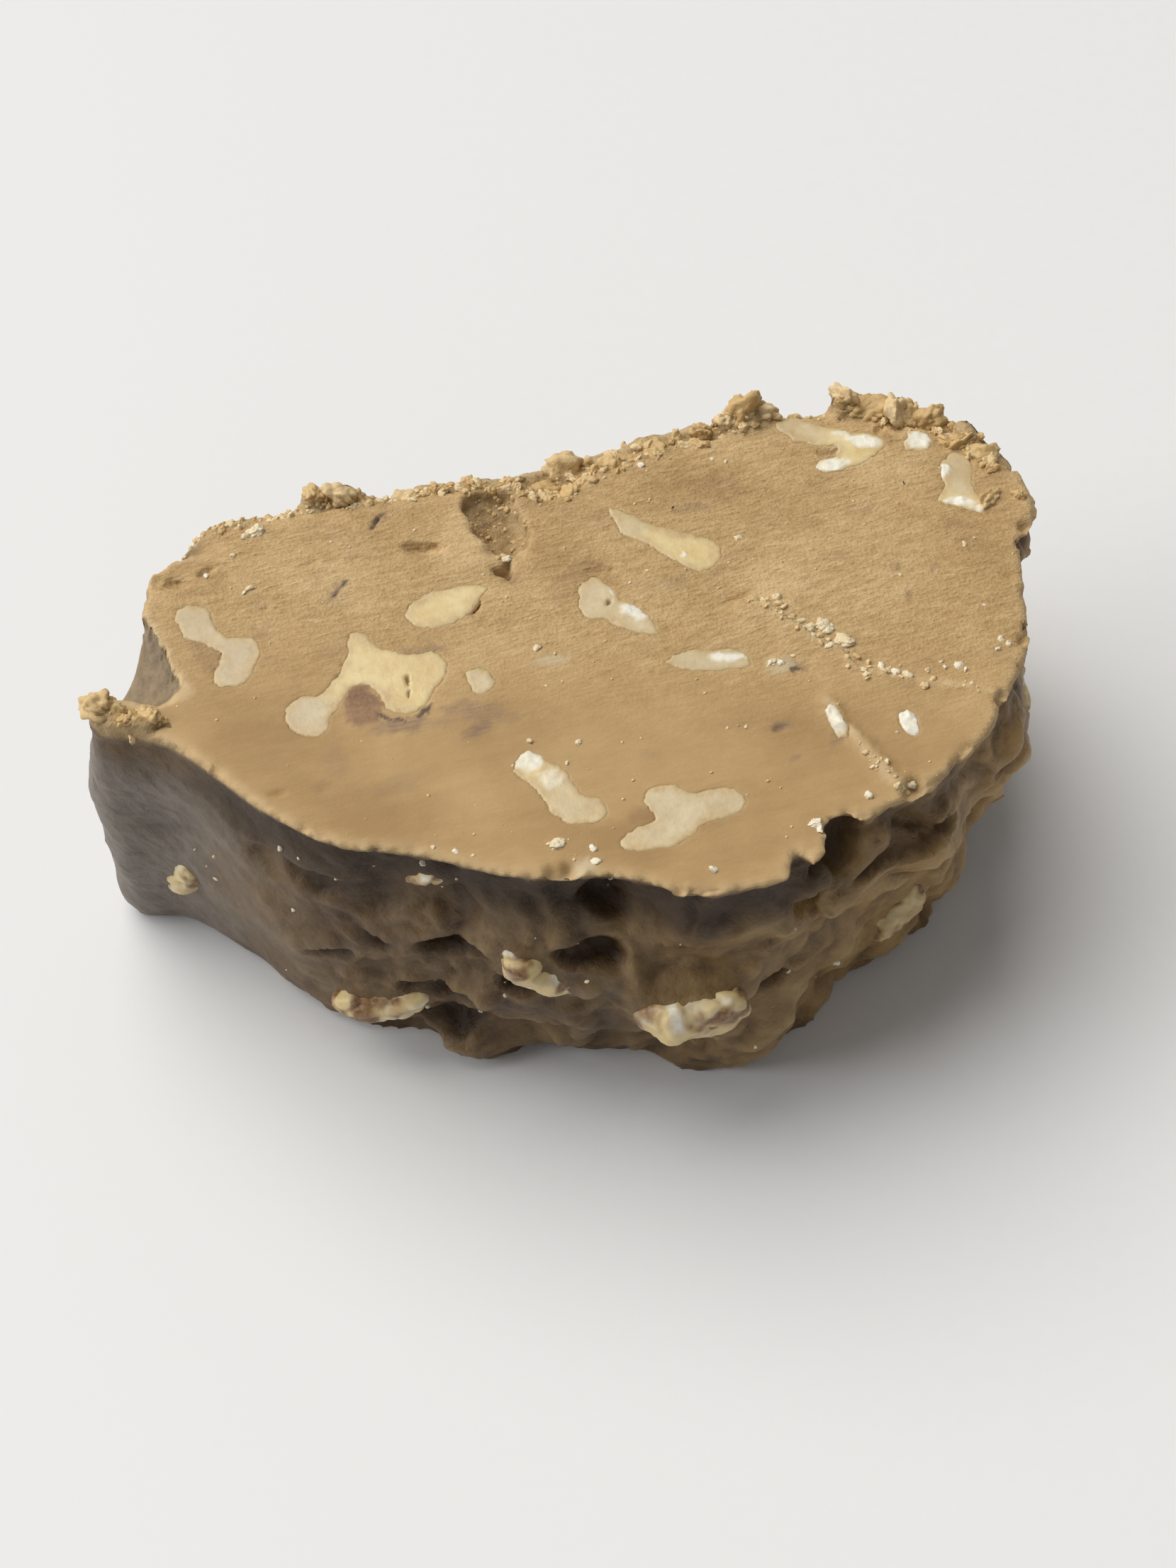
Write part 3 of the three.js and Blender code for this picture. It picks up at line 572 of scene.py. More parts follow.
def scooped_out(points, normals):
    """Points with the scoop in them. Those on the solid's own, rounder scoop move up or down to it."""
    places = on_section(points)
    inside, depth, _ = scoop_at(points, places)
    away = np.column_stack([places, points[:, 2]]) - SOLID_SCOOP_MIDDLE
    on_solid_scoop = np.abs(np.linalg.norm(away / SOLID_SCOOP_HALF, axis=1) - 1) < 0.2
    on_solid_scoop &= (points[:, 2] > THICKNESS - 9) & (normals[:, 2] > 0.12) & (inside > -3.0)
    rise = THICKNESS - depth - points[:, 2]
    rise_of_solid = rise * smoothstep(0.3, 2.5, distance_to(SCOOP_WALL, places))
    rise = np.where(inside > 0, np.minimum(rise, 0.0), 0.0)
    rise = np.where(on_solid_scoop & (rise_of_solid > 0), rise_of_solid, rise)
    return points + np.column_stack([np.zeros((len(points), 2)), rise])


def rim_bites(points, places):
    """How deep the bites out of the front rim are at each place."""
    ragged = places + 0.5 * wander(points, 1.6, 25.0)
    depth = np.zeros(len(places))
    for x, y, reach, deepest in RIM_BITES:
        away = np.hypot(ragged[:, 0] - x, ragged[:, 1] - y)
        depth = np.maximum(depth, deepest * smoothstep(reach, 0.4 * reach, away))
    return depth


def fudge_source():
    """The fudge's solid with the walnut pieces' pockets filled, as overlapping solids in one bmesh."""
    source = welded_copy("fudge_slice")
    for node in WALNUTS:
        margin = CRUST_FILLING_MARGIN if node in CRUST_WALNUTS else CUT_FILLING_MARGIN
        filling = mesh_of("filling", grown_copy(node, margin))
        source.from_mesh(filling)
        bpy.data.meshes.remove(filling)
    return source


def detailed_share(points, normals, walnut_edges):
    """True at the vertices of the upper cut where its relief is fine."""
    places = on_section(points)
    near_cut = THICKNESS - points[:, 2] < 3.0
    rim = normals[:, 2] < LEVEL
    broken = crumbled_share(places) > 0
    for outline in (CRATER, CRACK):
        broken |= depth_inside(outline, places) > -1.2
    broken |= distance_to(FLAP_TORN_EDGE, places) < 1.2
    broken |= np.abs(depth_inside(SCOOP, places) - 0.8) < 1.8
    broken |= distance_to(walnut_edges, points[:, :2]) < 0.8
    for line in DARK_LINES:
        broken |= distance_to(line, places) < 0.8
    broken |= rim_bites(points, places) > 0
    for x, y, half_length, _, _, _ in PITS:
        broken |= np.hypot(places[:, 0] - x, places[:, 1] - y) < half_length + 0.6
    return near_cut & (rim | broken) & (normals[:, 2] > -0.2)


def patches(places):
    """The share of brown skin at each place: that of its patch, and 0 outside them."""
    covers = [smoothstep(-0.25, 0.35, depth_inside(outline, places)) for outline in BROWN_PATCHES]
    return np.max([cover * share for cover, share in zip(covers, BROWN_PATCH_SHARES)], axis=0)


def dark_lines(points, places):
    """Nearly 1 on the thin dark lines of skin, and 0 away from them."""
    ragged = places + 0.3 * wander(points, 0.9, 16.0)
    away = np.min([distance_to(line, ragged) for line in DARK_LINES], axis=0)
    return 0.85 * smoothstep(0.34, 0.06, away + 0.2 * noise_at(points, 1.2, 18.0))


def shaped_fudge(upper_edges, lower_edges):
    """The fudge remeshed over its solid and smoothed, with the scoop in it, finer where its relief is."""
    body = remesh("fudge_body", fudge_source(), FUDGE_VOXEL)
    mesh = body.data
    points = points_of(mesh)
    depth = THICKNESS - points[:, 2]
    on_rim = (np.abs(depth) < 1.5) & (normals_of(mesh)[:, 2] < LEVEL)
    on_wall = smoothstep(0.3, 1.6, depth) * smoothstep(0.3, 1.5, points[:, 2])
    points = smoothed(mesh, points, 0.6 * on_wall, 14)
    points = smoothed(mesh, points, 0.5 * on_rim, 6)
    move_points(mesh, points)

    points = scooped_out(points, normals_of(mesh))
    places = on_section(points)
    at_wall = smoothstep(4.0, 2.5, distance_to(SCOOP_WALL[:3], places))
    at_wall *= smoothstep(11.0, 8.0, THICKNESS - points[:, 2]) * smoothstep(2.5, 4.0, places[:, 1])
    points = smoothed(mesh, points, 0.6 * at_wall, 12)
    move_points(mesh, points)

    normals = normals_of(mesh)
    far_from_walnut = distance_to(np.vstack(lower_edges), points[:, :2]) > 1.2
    spare = (points[:, 2] < 0.05) & (normals[:, 2] < -0.99) & far_from_walnut
    refine(mesh, detailed_share(points, normals, np.vstack(upper_edges)), spare)
    return body


def fudge_regions(mesh):
    """The fudge's points, their depth below the cut, and their shares of cut, rim, scoop and so on."""
    f = SimpleNamespace(points=points_of(mesh), normals=normals_of(mesh))
    f.places = on_section(f.points)
    f.depth = THICKNESS - f.points[:, 2]
    f.in_scoop, f.scoop_depth, bare = scoop_at(f.points, f.places)
    below_scoop = f.depth - f.scoop_depth + 1.2 * noise_at(f.points, 2.5, 43.0)
    f.scooped = bare * smoothstep(2.5, 0.3, below_scoop)
    up = f.normals[:, 2]
    at_corner = smoothstep(-43.0, -45.0, f.places[:, 0])
    f.facing_up = smoothstep(0.3, 0.7, up - 0.25 * at_corner)
    f.facing_up *= smoothstep(4.5, 3.0, f.depth * (1 + at_corner))
    f.upper = f.facing_up * (1 - f.scooped)
    f.height, broken = cut_relief(f.points, f.places)
    f.broken = np.maximum(broken, smoothstep(0.2, 0.5, -f.depth)) * f.upper
    f.cut = f.upper * smoothstep(1.2, 0.5, f.depth) * (1 - f.broken)
    rim = smoothstep(0.25, 0.55, up) * smoothstep(LEVEL, 0.85, up) * smoothstep(1.5, 0.8, f.depth)
    f.rim = np.minimum(1.0, 1.7 * smoothed(mesh, rim[:, None], np.full(len(rim), 0.7), 3)[:, 0])
    f.relief = crust_relief(f.points)
    return f


def relieved_fudge(f, mesh, upper_edges, lower_edges):
    """The fudge's points with its crust, cut, rim, scoop and bites, sunk under the walnut pieces."""
    on_wall = smoothstep(0.2, 1.4, f.depth) * smoothstep(0.0, 1.5, f.points[:, 2])
    on_wall *= (1 - np.maximum(f.cut, f.broken)) * (1 - 0.85 * f.scooped)
    moved = f.points + f.normals * (f.relief * on_wall)[:, None]
    moved[:, 2] += f.upper * f.height
    chips = smoothstep(0.2, 0.45, noise_at(f.points, 2.3, 14.0))
    chips *= 0.35 + 0.5 * smoothstep(30.0, 42.0, f.points[:, 0])
    burr = f.rim * (0.22 * rough_at(f.points, 0.9, offset=12.0) + 0.1 - chips)
    moved += f.normals * (burr * (1 - f.broken))[:, None]

    scoop_floor = np.where(f.in_scoop > 0, THICKNESS - f.scoop_depth, np.inf)
    moved[:, 2] = np.minimum(moved[:, 2], scoop_floor)
    on_floor = smoothstep(0.1, 1.0, f.in_scoop) * smoothstep(14.0, 9.0, f.depth)
    moved = smoothed(mesh, moved, 0.6 * on_floor, 8)

    bitten = rim_bites(f.points, f.places)
    bite_floor = THICKNESS - bitten + 0.25 * rough_at(f.points, 1.2, offset=29.0)
    moved[:, 2] = np.minimum(moved[:, 2], np.where(bitten > 0.02, bite_floor, np.inf))

    ragged = f.points[:, :2] - walnut_warp(f.points[:, :2])
    for edges, level, down in ((upper_edges, THICKNESS, 1), (lower_edges, 0.0, -1)):
        near = np.flatnonzero(np.abs(f.points[:, 2] - level) < 1.6)
        for outline in edges:
            sunk = smoothstep(0.05, 0.4, depth_inside(outline, ragged[near]))
            moved[near, 2] -= down * POCKET_DEPTH * sunk
    return moved


def fudge_attributes(f):
    """What the fudge's material reads at each point, by name."""
    x, y = f.places.T
    stained = f.places + 0.6 * wander(f.points, 1.8, 4.0) + 0.45 * wander(f.points, 0.7, 8.0)
    drifted = f.places + 2.0 * wander(f.points, 6.0, 35.0)
    clouds = spots(LIGHT_CLOUDS, drifted, 0.0, 1.7) - spots(DARK_CLOUDS, drifted, 0.0, 1.7)
    ragged = torn_edge(f.points, f.places)
    to_crest = np.minimum(distance_to(FLAP_TORN_EDGE, ragged), distance_to(FLAP_RIDGE, ragged))
    to_crest = np.minimum(to_crest, np.abs(f.in_scoop + 0.2) + 2 * smoothstep(4.0, 2.0, y))
    # Painted sheen: a grey reflection painted into the crust's colour on its left side, below the rim
    sheen_side = smoothstep(-36.0, -48.0, x + 6.0 * rough_at(f.points, 9.0, offset=41.0))
    below_rim = smoothstep(2.5, 8.0, f.depth + 1.5 * noise_at(f.points, 3.0, 33.0))
    front_left = smoothstep(-46.0, -40.0, x) * smoothstep(8.0, -14.0, x + y) * smoothstep(2.0, -4.0, y)
    under_rim = smoothstep(11.0, 4.0, f.depth + 2.0 * noise_at(f.points, 4.0, 47.0))
    return dict(
        cut=np.maximum(f.cut, smoothstep(0.6, 0.9, -f.normals[:, 2])),
        broken=f.broken,
        rim=f.rim,
        # Low relief darkens the crust's caves, high relief lightens its lumps: painted shade and light
        relief=np.clip(0.5 + 0.4 * f.relief, 0.0, 1.0),
        sandy=0.15 + 0.85 * smoothstep(-12.0, 8.0, y + 0.25 * x),
        light=clouds - 0.3 * smoothstep(0.0, -14.0, y),
        crest=f.facing_up * smoothstep(0.9, 0.1, to_crest),
        painted_sheen=sheen_side * below_rim * (1 - 0.6 * f.scooped),
        # Painted light: the crust's colour turns a lighter tan towards the right side
        painted_light_right=smoothstep(-5.0, 45.0, x - 0.3 * y),
        shade=0.85 * front_left * under_rim,
        scooped=f.scooped,
        patch=f.upper * patches(stained),
        line=f.upper * dark_lines(f.points, f.places),
        mauve=f.upper * spots(MAUVE_STAINS, stained),
        pale=f.upper * spots(PALE_STAINS, stained),
        brown=f.upper * spots(BROWN_STAINS, stained),
    )


def fudge_body():
    """The fudge, with its fine relief and what its material reads."""
    upper_edges = [cut_outline(node, THICKNESS) for node in UPPER_WALNUTS]
    lower_edges = [cut_outline(node, 0.0) for node in LOWER_WALNUTS]
    body = shaped_fudge(upper_edges, lower_edges)
    regions = fudge_regions(body.data)
    move_points(body.data, relieved_fudge(regions, body.data, upper_edges, lower_edges))
    set_attributes(body.data, **fudge_attributes(regions))
    body.data.materials.append(fudge_material())
    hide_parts("fudge_slice")
    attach(body, "root")
    return body


def sliced_kernel(node, mesh, level):
    """Gives a sliced walnut piece its ragged outline and a face level with the cut."""
    points = points_of(mesh)
    normals = normals_of(mesh)
    edge_depth = depth_inside(cut_outline(node, level), points[:, :2])
    film = smoothstep(1.5, -0.1, edge_depth + 0.6 * noise_at(points, 1.3, 3.0))
    film *= smoothstep(-0.3, 0.2, noise_at(points, 4.0, 21.0))
    film = np.maximum(film, 0.75 * smoothstep(0.9, 0.0, edge_depth + 0.4 * noise_at(points, 1.1, 13.0)))
    white = grey = slit = np.zeros(len(points))
    moved = points.copy()
    moved[:, :2] += walnut_warp(points[:, :2])
    if level == THICKNESS:
        places = on_section(moved)
        slit = spots(SLITS, places + 0.15 * wander(points, 0.6, 7.0))
        drifted = places + 0.5 * wander(points, 1.2, 7.0) + 0.2 * wander(points, 0.5, 5.0)
        white = spots(WHITE_CHIPS, drifted)
        grey = spots(GREY_CLOUDS, drifted, inner=0.6, outer=1.4)
        film = np.maximum(film, spots(FILMED_ENDS, drifted, inner=0.1, outer=1.4))
        rough = 0.4 * white * np.maximum(0.0, rough_at(points, 0.9, offset=1.0))
        height = knife_relief(moved, places) + 0.03 + rough - SLIT_DEPTH * slit
        moved[:, 2] += smoothstep(0.5, 0.9, normals[:, 2]) * height
    move_points(mesh, moved)
    set_attributes(mesh, film=film * (1 - 0.85 * white), white=white, grey=grey, skin=slit)


def crust_kernel(mesh):
    """Gives a walnut piece in the crust the broken planes and grooves of a kernel."""
    points = points_of(mesh)
    middle = points.mean(axis=0)
    reach = np.abs(points - middle).max()
    for _ in range(KERNEL_PLANES):
        away = rng.normal(size=3)
        away /= np.linalg.norm(away)
        beyond = (points - middle) @ away
        limit = beyond.max() * rng.uniform(0.7, 0.9)
        points = points - np.maximum(beyond - limit, 0.0)[:, None] * away * 0.8
    move_points(mesh, points)
    grooves = np.minimum(np.abs(noise_at(points, 2.6, 2.0)) * 1.6, 0.4)
    out = 0.8 * grooves - 0.05 + 0.15 * rough_at(points, 1.1)
    move_points(mesh, points + normals_of(mesh) * out[:, None])
    set_attributes(
        mesh,
        film=0.9 * smoothstep(0.1, 0.45, noise_at(points, 0.6 * reach, 4.0)),
        white=smoothstep(0.2, 0.6, noise_at(points, 2.2, 9.0)),
        grey=smoothstep(0.0, 0.5, noise_at(points, 3.0, 13.0)),
        skin=smoothstep(0.05, 0.3, rough_at(points, 0.7 * reach, offset=3.0)),
    )


def walnut_piece(node, material):
    """A walnut piece, remeshed over its solid."""
    name = node + "_kernel"
    if node in CRUST_WALNUTS:
        piece = remesh(name, grown_copy(node, CRUST_WALNUT_MARGIN), CRUST_WALNUT_VOXEL)
        crust_kernel(piece.data)
    else:
        piece = remesh(name, grown_copy(node, CUT_WALNUT_MARGIN), CUT_WALNUT_VOXEL)
        sliced_kernel(node, piece.data, 0.0 if node in LOWER_WALNUTS else THICKNESS)
    piece.data.materials.append(material)
    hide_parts(node)
    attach(piece, "root")
    return piece


@cache
def ball(subdivisions):
    """Points and triangles of a ball of radius 1."""
    shape = bmesh.new()
    bmesh.ops.create_icosphere(shape, subdivisions=subdivisions, radius=1.0)
    points = np.array([vertex.co for vertex in shape.verts])
    faces = np.array([[vertex.index for vertex in face.verts] for face in shape.faces])
    shape.free()
    return points, faces


def crumb(length):
    """Points and triangles of one broken crumb round the origin."""
    points, faces = ball(1 + sum(bool(length > least) for least in FINER_FROM))
    for away in rng.normal(size=(3, 3)):
        away /= np.linalg.norm(away)
        beyond = points @ away - rng.uniform(0.5, 0.85)
        points = points - 0.8 * np.maximum(beyond, 0.0)[:, None] * away
    seed = rng.uniform(0, 100)
    uneven = 0.3 * noise_at(points, 0.95, seed) + 0.6 * np.abs(noise_at(points, 0.6, seed))
    uneven += (0.2 if length > FINER_FROM[-1] else 0.35) * np.abs(noise_at(points, 0.27, seed)) - 0.2
    points = points * (1 + uneven[:, None]) * (1.2, rng.uniform(0.75, 1.1), rng.uniform(0.55, 0.9))
    axis = Vector(rng.normal(size=3)).normalized()
    turn = Matrix.Rotation(rng.uniform(0, math.tau), 3, axis)
    return points @ np.array(turn).T * (length / 2), faces


def joined(name, shapes, material, tones):
    """One mesh piece of many small shapes, each with a tone of its own from 0 to 1."""
    counts = [len(points) for points, _ in shapes]
    starts = np.cumsum([0] + counts[:-1])
    points = np.vstack([points for points, _ in shapes])
    faces = np.vstack([faces + start for (_, faces), start in zip(shapes, starts)])
    mesh = bpy.data.meshes.new(name)
    mesh.from_pydata((points * MM).tolist(), [], faces.tolist())
    mesh.polygons.foreach_set("use_smooth", np.ones(len(mesh.polygons), bool))
    set_attributes(mesh, tone=np.repeat(tones, counts))
    mesh.materials.append(material)
    piece = new_object(name, mesh)
    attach(piece, "root")


def drop(surfaces, place):
    """The highest point over a place on the section, or None beside the slice."""
    x, y = np.asarray(place) + SECTION_SHIFT
    above = Vector((x * MM, y * MM, 2 * THICKNESS * MM))
    hits = [tree.ray_cast(above, Vector((0, 0, -1)))[0] for tree in surfaces]
    heights = [hit.z / MM for hit in hits if hit is not None]
    return np.array([x, y, max(heights)]) if heights else None


def lay(surfaces, crumbs, sunk=0.42, flat=1.0, deepest=6.0):
    """Crumbs of given x, y and length lying on the section, sunk in a little, where it isn't too deep."""
    shapes = []
    for x, y, length in crumbs:
        middle = drop(surfaces, (x, y))
        if middle is not None and middle[2] > THICKNESS - deepest:
            points, faces = crumb(length)
            shapes.append(((points + (0, 0, length * (0.35 - sunk))) * (1, 1, flat) + middle, faces))
    return shapes


def small_lengths(count, low, high):
    """Lengths of crumbs, most of them small."""
    return low + (high - low) * rng.random(count) ** 2.4


def sized(places, low, high):
    """Places with the length of a crumb at each."""
    return np.column_stack([places, small_lengths(len(places), low, high)])


def along(path, count, spread):
    """Places at random along a path, off it by about the spread."""
    path = np.asarray(path, float)
    at = rng.uniform(0, len(path) - 1.001, count)
    first = at.astype(int)
    places = path[first] + (path[first + 1] - path[first]) * (at - first)[:, None]
    return places + rng.normal(0, spread, (count, 2))


def between(low, high, count):
    """Places at random in a box between two corners."""
    return np.column_stack([rng.uniform(*ends, count) for ends in zip(low, high)])


def fudge_crumbs(surfaces, material):
    """Crumbs on the crumbled edge, in the crater, on the lip and along the flap, and dust over the cut."""
    edge = along(CRUMBLED_FROM, EDGE_CRUMBS, 0.5)
    edge[:, 1] += np.abs(rng.normal(0.4, 1.4, EDGE_CRUMBS))
    left = edge[:, 0] < FINE_CRUMBS_UP_TO
    shapes = lay(surfaces, sized(edge[left], 0.25, 0.9), deepest=2.5)
    rim = along(CRUMBLED_FROM[1:6], RIM_CRUMBS, 0.3)
    rim[:, 1] += rng.uniform(0.0, 2.0, RIM_CRUMBS)
    shapes += lay(surfaces, sized(rim, 0.3, 1.1), deepest=2.5)
    tones = list(rng.uniform(0.45, 1.0, len(shapes)))

    shapes += lay(surfaces, sized(edge[~left], 0.3, 1.7), deepest=3.0)
    crater = rng.uniform(np.min(CRATER, axis=0), np.max(CRATER, axis=0), (CRATER_CRUMBS, 2))
    shapes += lay(surfaces, sized(crater[depth_inside(CRATER, crater) > 0], 0.2, 0.8), sunk=0.4)
    lip = between((-53, 0.2), (-45, 7), LIP_CRUMBS)
    shapes += lay(surfaces, sized(lip[depth_inside(LIP, lip) > 0], 0.3, 1.0), deepest=1.5)
    tones += list(rng.uniform(0.15, 0.85, len(shapes) - len(tones)))

    shapes += lay(surfaces, sized(along(FLAP_TORN_EDGE, FLAP_CRUMBS, 0.7), 0.2, 1.0))
    shapes += lay(surfaces, sized(along(FLAP_RIDGE[2:], RIDGE_CRUMBS, 0.5), 0.2, 0.9))
    dust = between((-46, -28), (51, 26), DUST_CRUMBS)
    shapes += lay(surfaces[:1], sized(dust, 0.12, 0.4), sunk=0.38, deepest=0.3)
    tones += list(rng.uniform(0.6, 1.0, len(shapes) - len(tones)))
    joined("fudge_crumbs", shapes, material, tones)


def fudge_chunks(surfaces, material):
    shapes = lay(surfaces, CHUNKS, sunk=0.5)
    joined("fudge_chunks", shapes, material, rng.uniform(0.25, 0.75, len(shapes)))


def wall_specks(surface):
    """Tiny bits of walnut in the left and the front of the crust."""
    turns = rng.uniform(math.pi, 1.75 * math.pi, WALL_SPECKS)
    levels = rng.uniform(4, 37, WALL_SPECKS)
    shapes = []
    for turn, level, length in zip(turns, levels, small_lengths(WALL_SPECKS, 0.25, 0.9)):
        away = Vector((math.cos(turn), math.sin(turn), 0.0))
        start = Vector((0, 0, level * MM)) + away * 0.1
        points, faces = crumb(length)
        shapes.append((points + np.array(surface.ray_cast(start, -away)[0]) / MM, faces))
    return shapes


def walnut_bits(surfaces, material):
    shapes = lay(surfaces, NUT_BITS, flat=0.7) + wall_specks(surfaces[0])
    joined("walnut_bits", shapes, material, rng.random(len(shapes)))


def skin_flakes(surfaces, material):
    """Thin curled flakes of walnut skin."""
    shapes = []
    for x, y, length, width, turn in SKIN_FLAKES:
        points, faces = ball(3)
        seed = rng.uniform(0, 100)
        points = points * (1 + 0.35 * noise_at(points, 0.7, seed)[:, None]) * (length / 2, width / 2, 0.08)
        points[:, 1] += 0.12 * np.sin(points[:, 0] * 3.0 / length)
        points = points @ np.array(Matrix.Rotation(math.radians(turn), 3, "Z")).T
        shapes.append((points + drop(surfaces, (x, y)), faces))
    joined("walnut_skin_flakes", shapes, material, rng.random(len(shapes)))


class Shader:
    """Short calls for building one material's nodes."""

    def __init__(self, name):
        self.material = bpy.data.materials.new(name)
        self.material.use_nodes = True
        self.tree = self.material.node_tree
        self.surface = self.tree.nodes["Principled BSDF"]
        self.coords = self.node("TexCoord", "Object", {})

    def put(self, value, socket):
        """Links an output, or the attribute of a name, to a socket, or sets the socket to a plain value."""
        if isinstance(value, str):
            value = self.node("Attribute", "Fac", {}, attribute_name=value)
        if isinstance(value, bpy.types.NodeSocket):
            self.tree.links.new(value, socket)
        else:
            socket.default_value = value

    def node(self, kind, output, inputs, **settings):
        """The named output of a new node with some settings and inputs."""
        node = self.tree.nodes.new("ShaderNode" + kind)
        for name, value in settings.items():
            setattr(node, name, value)
        for name, value in inputs.items():
            self.put(value, node.inputs[name])
        return node.outputs[output]

    def noise(self, size, detail, roughness, stretch=None, turn=(0, 0, 0)):
        """Noise with lumps of a size in mm, stretched, where asked, along an axis turned by some degrees."""
        vector = self.coords
        if stretch:
            angles = [math.radians(angle) for angle in turn]
            inputs = {"Vector": vector, "Scale": (stretch, 1.0, 1.0), "Rotation": angles}
            vector = self.node("Mapping", "Vector", inputs, vector_type="TEXTURE")
        inputs = {"Vector": vector, "Scale": 1 / (size * MM), "Detail": detail, "Roughness": roughness}
        return self.node("TexNoise", "Fac", inputs)

    def ramp(self, value, *stops):
        """A colour for each value, from stops of (value, r, g, b)."""
        colour = self.node("ValToRGB", "Color", {"Fac": value})
        elements = colour.node.color_ramp.elements
        while len(elements) < len(stops):
            elements.new(0.5)
        for element, (place, *rgb) in zip(elements, stops):
            element.position = place
            element.color = (*rgb, 1.0)
        return colour

    def layered(self, colour, *layers):
        """A colour under layers of (share, colour), each of which covers it by its share."""
        for share, over in layers:
            inputs = {"Factor": share, "A": colour, "B": (*over, 1.0) if isinstance(over, tuple) else over}
            colour = self.node("Mix", "Result", inputs, data_type="RGBA")
        return colour

    def remap(self, value, low, high, to_low=0.0, to_high=1.0):
        inputs = {"Value": value, "From Min": low, "From Max": high, "To Min": to_low, "To Max": to_high}
        return self.node("MapRange", "Result", inputs)

    def math(self, operation, first, second):
        return self.node("Math", "Value", {0: first, 1: second}, operation=operation)

    def times(self, first, second):
        return self.math("MULTIPLY", first, second)

    def blend(self, *parts):
        """The sum of (value, weight) parts."""
        total, *others = [self.times(value, weight) for value, weight in parts]
        for other in others:
            total = self.math("ADD", total, other)
        return total

    def bump(self, *heights):
        """The normal of a surface with some bumps of (height, depth in mm) on it."""
        inputs = {}
        for height, depth in heights:
            inputs.update({"Height": height, "Distance": depth * MM})
            inputs["Normal"] = self.node("Bump", "Normal", inputs)
        return inputs["Normal"]

    def translucent(self, weight, depth):
        """Lets light through the surface's outer layer, by about the given depth in mm."""
        self.surface.inputs["Subsurface Weight"].default_value = weight
        self.surface.inputs["Subsurface Radius"].default_value = (1.0, 0.6, 0.3)
        self.surface.inputs["Subsurface Scale"].default_value = depth * MM

    def finish(self, colour, roughness, normal):
        self.put(colour, self.surface.inputs["Base Color"])
        self.put(roughness, self.surface.inputs["Roughness"])
        self.put(normal, self.surface.inputs["Normal"])
        return self.material


def fudge_patterns(s):
    """The noises that the fudge's colours and bumps share."""
    return SimpleNamespace(
        cloud=s.noise(11.0, 3.0, 0.55),
        streaks=s.noise(0.3, 3.0, 0.6, 4.5, KNIFE_TURN),
        dashes=s.noise(0.65, 4.0, 0.65, 3.2, KNIFE_TURN),
        bands=s.noise(1.6, 3.0, 0.6, 7.0),
        grain=s.noise(0.38, 2.0, 0.6),
        wrinkle=s.noise(1.3, 3.0, 0.55, 3.5, WRINKLE_TURN),
        pores=s.noise(1.5, 5.0, 0.62),
    )


def cut_colour(s, p):
    """Tan fudge that was cut, with the knife's streaks where it is sandy."""
    fine = s.blend((p.dashes, 0.5), (p.streaks, 0.45), (p.grain, 0.3))
    fine = s.times(s.math("SUBTRACT", fine, 0.625), "sandy")
    broad = s.blend((p.cloud, 0.4), (p.bands, 0.1), ("light", 0.25))
    tone = s.math("ADD", s.math("ADD", broad, 0.25), fine)
    tan = s.ramp(tone, (0.3, 0.395, 0.24, 0.096), (0.5, 0.535, 0.352, 0.156), (0.7, 0.67, 0.47, 0.235))
    smudge = s.remap(s.noise(3.6, 4.0, 0.65, 1.6), 0.54, 0.72, 0.0, 0.3)
    return s.layered(tan, (s.times(smudge, "sandy"), (0.36, 0.225, 0.125)))


def crust_colour(s, mottle):
    """Brown crust with painted shade and painted light on it, and a painted grey sheen on its left side."""
    # Painted shade in the crust's caves and creases and painted light on its lumps, mixed with noise
    crease_shade_and_tone = s.blend(("relief", 0.6), (s.noise(2.2, 4.0, 0.6), 0.4))
    # Painted shade: this brown is darker than the crust's own lit tan
    brown = s.ramp(crease_shade_and_tone, (0.22, 0.06, 0.032, 0.014), (0.5, 0.15, 0.09, 0.038), (0.78, 0.26, 0.168, 0.075))
    tan = s.ramp(crease_shade_and_tone, (0.25, 0.165, 0.093, 0.033), (0.5, 0.385, 0.235, 0.088), (0.78, 0.53, 0.36, 0.16))
    sheen_greys = [(0.36, 0.115, 0.088, 0.067), (0.46, 0.165, 0.137, 0.112), (0.62, 0.23, 0.195, 0.162)]
    sheen_grey = s.ramp(mottle, *sheen_greys)
    # The grey over the brown is a painted sheen on the left; the last layer is painted shade under the rim
    return s.layered(brown, ("painted_light_right", tan), (s.times("painted_sheen", 0.85), sheen_grey), ("shade", (0.05, 0.03, 0.016)))


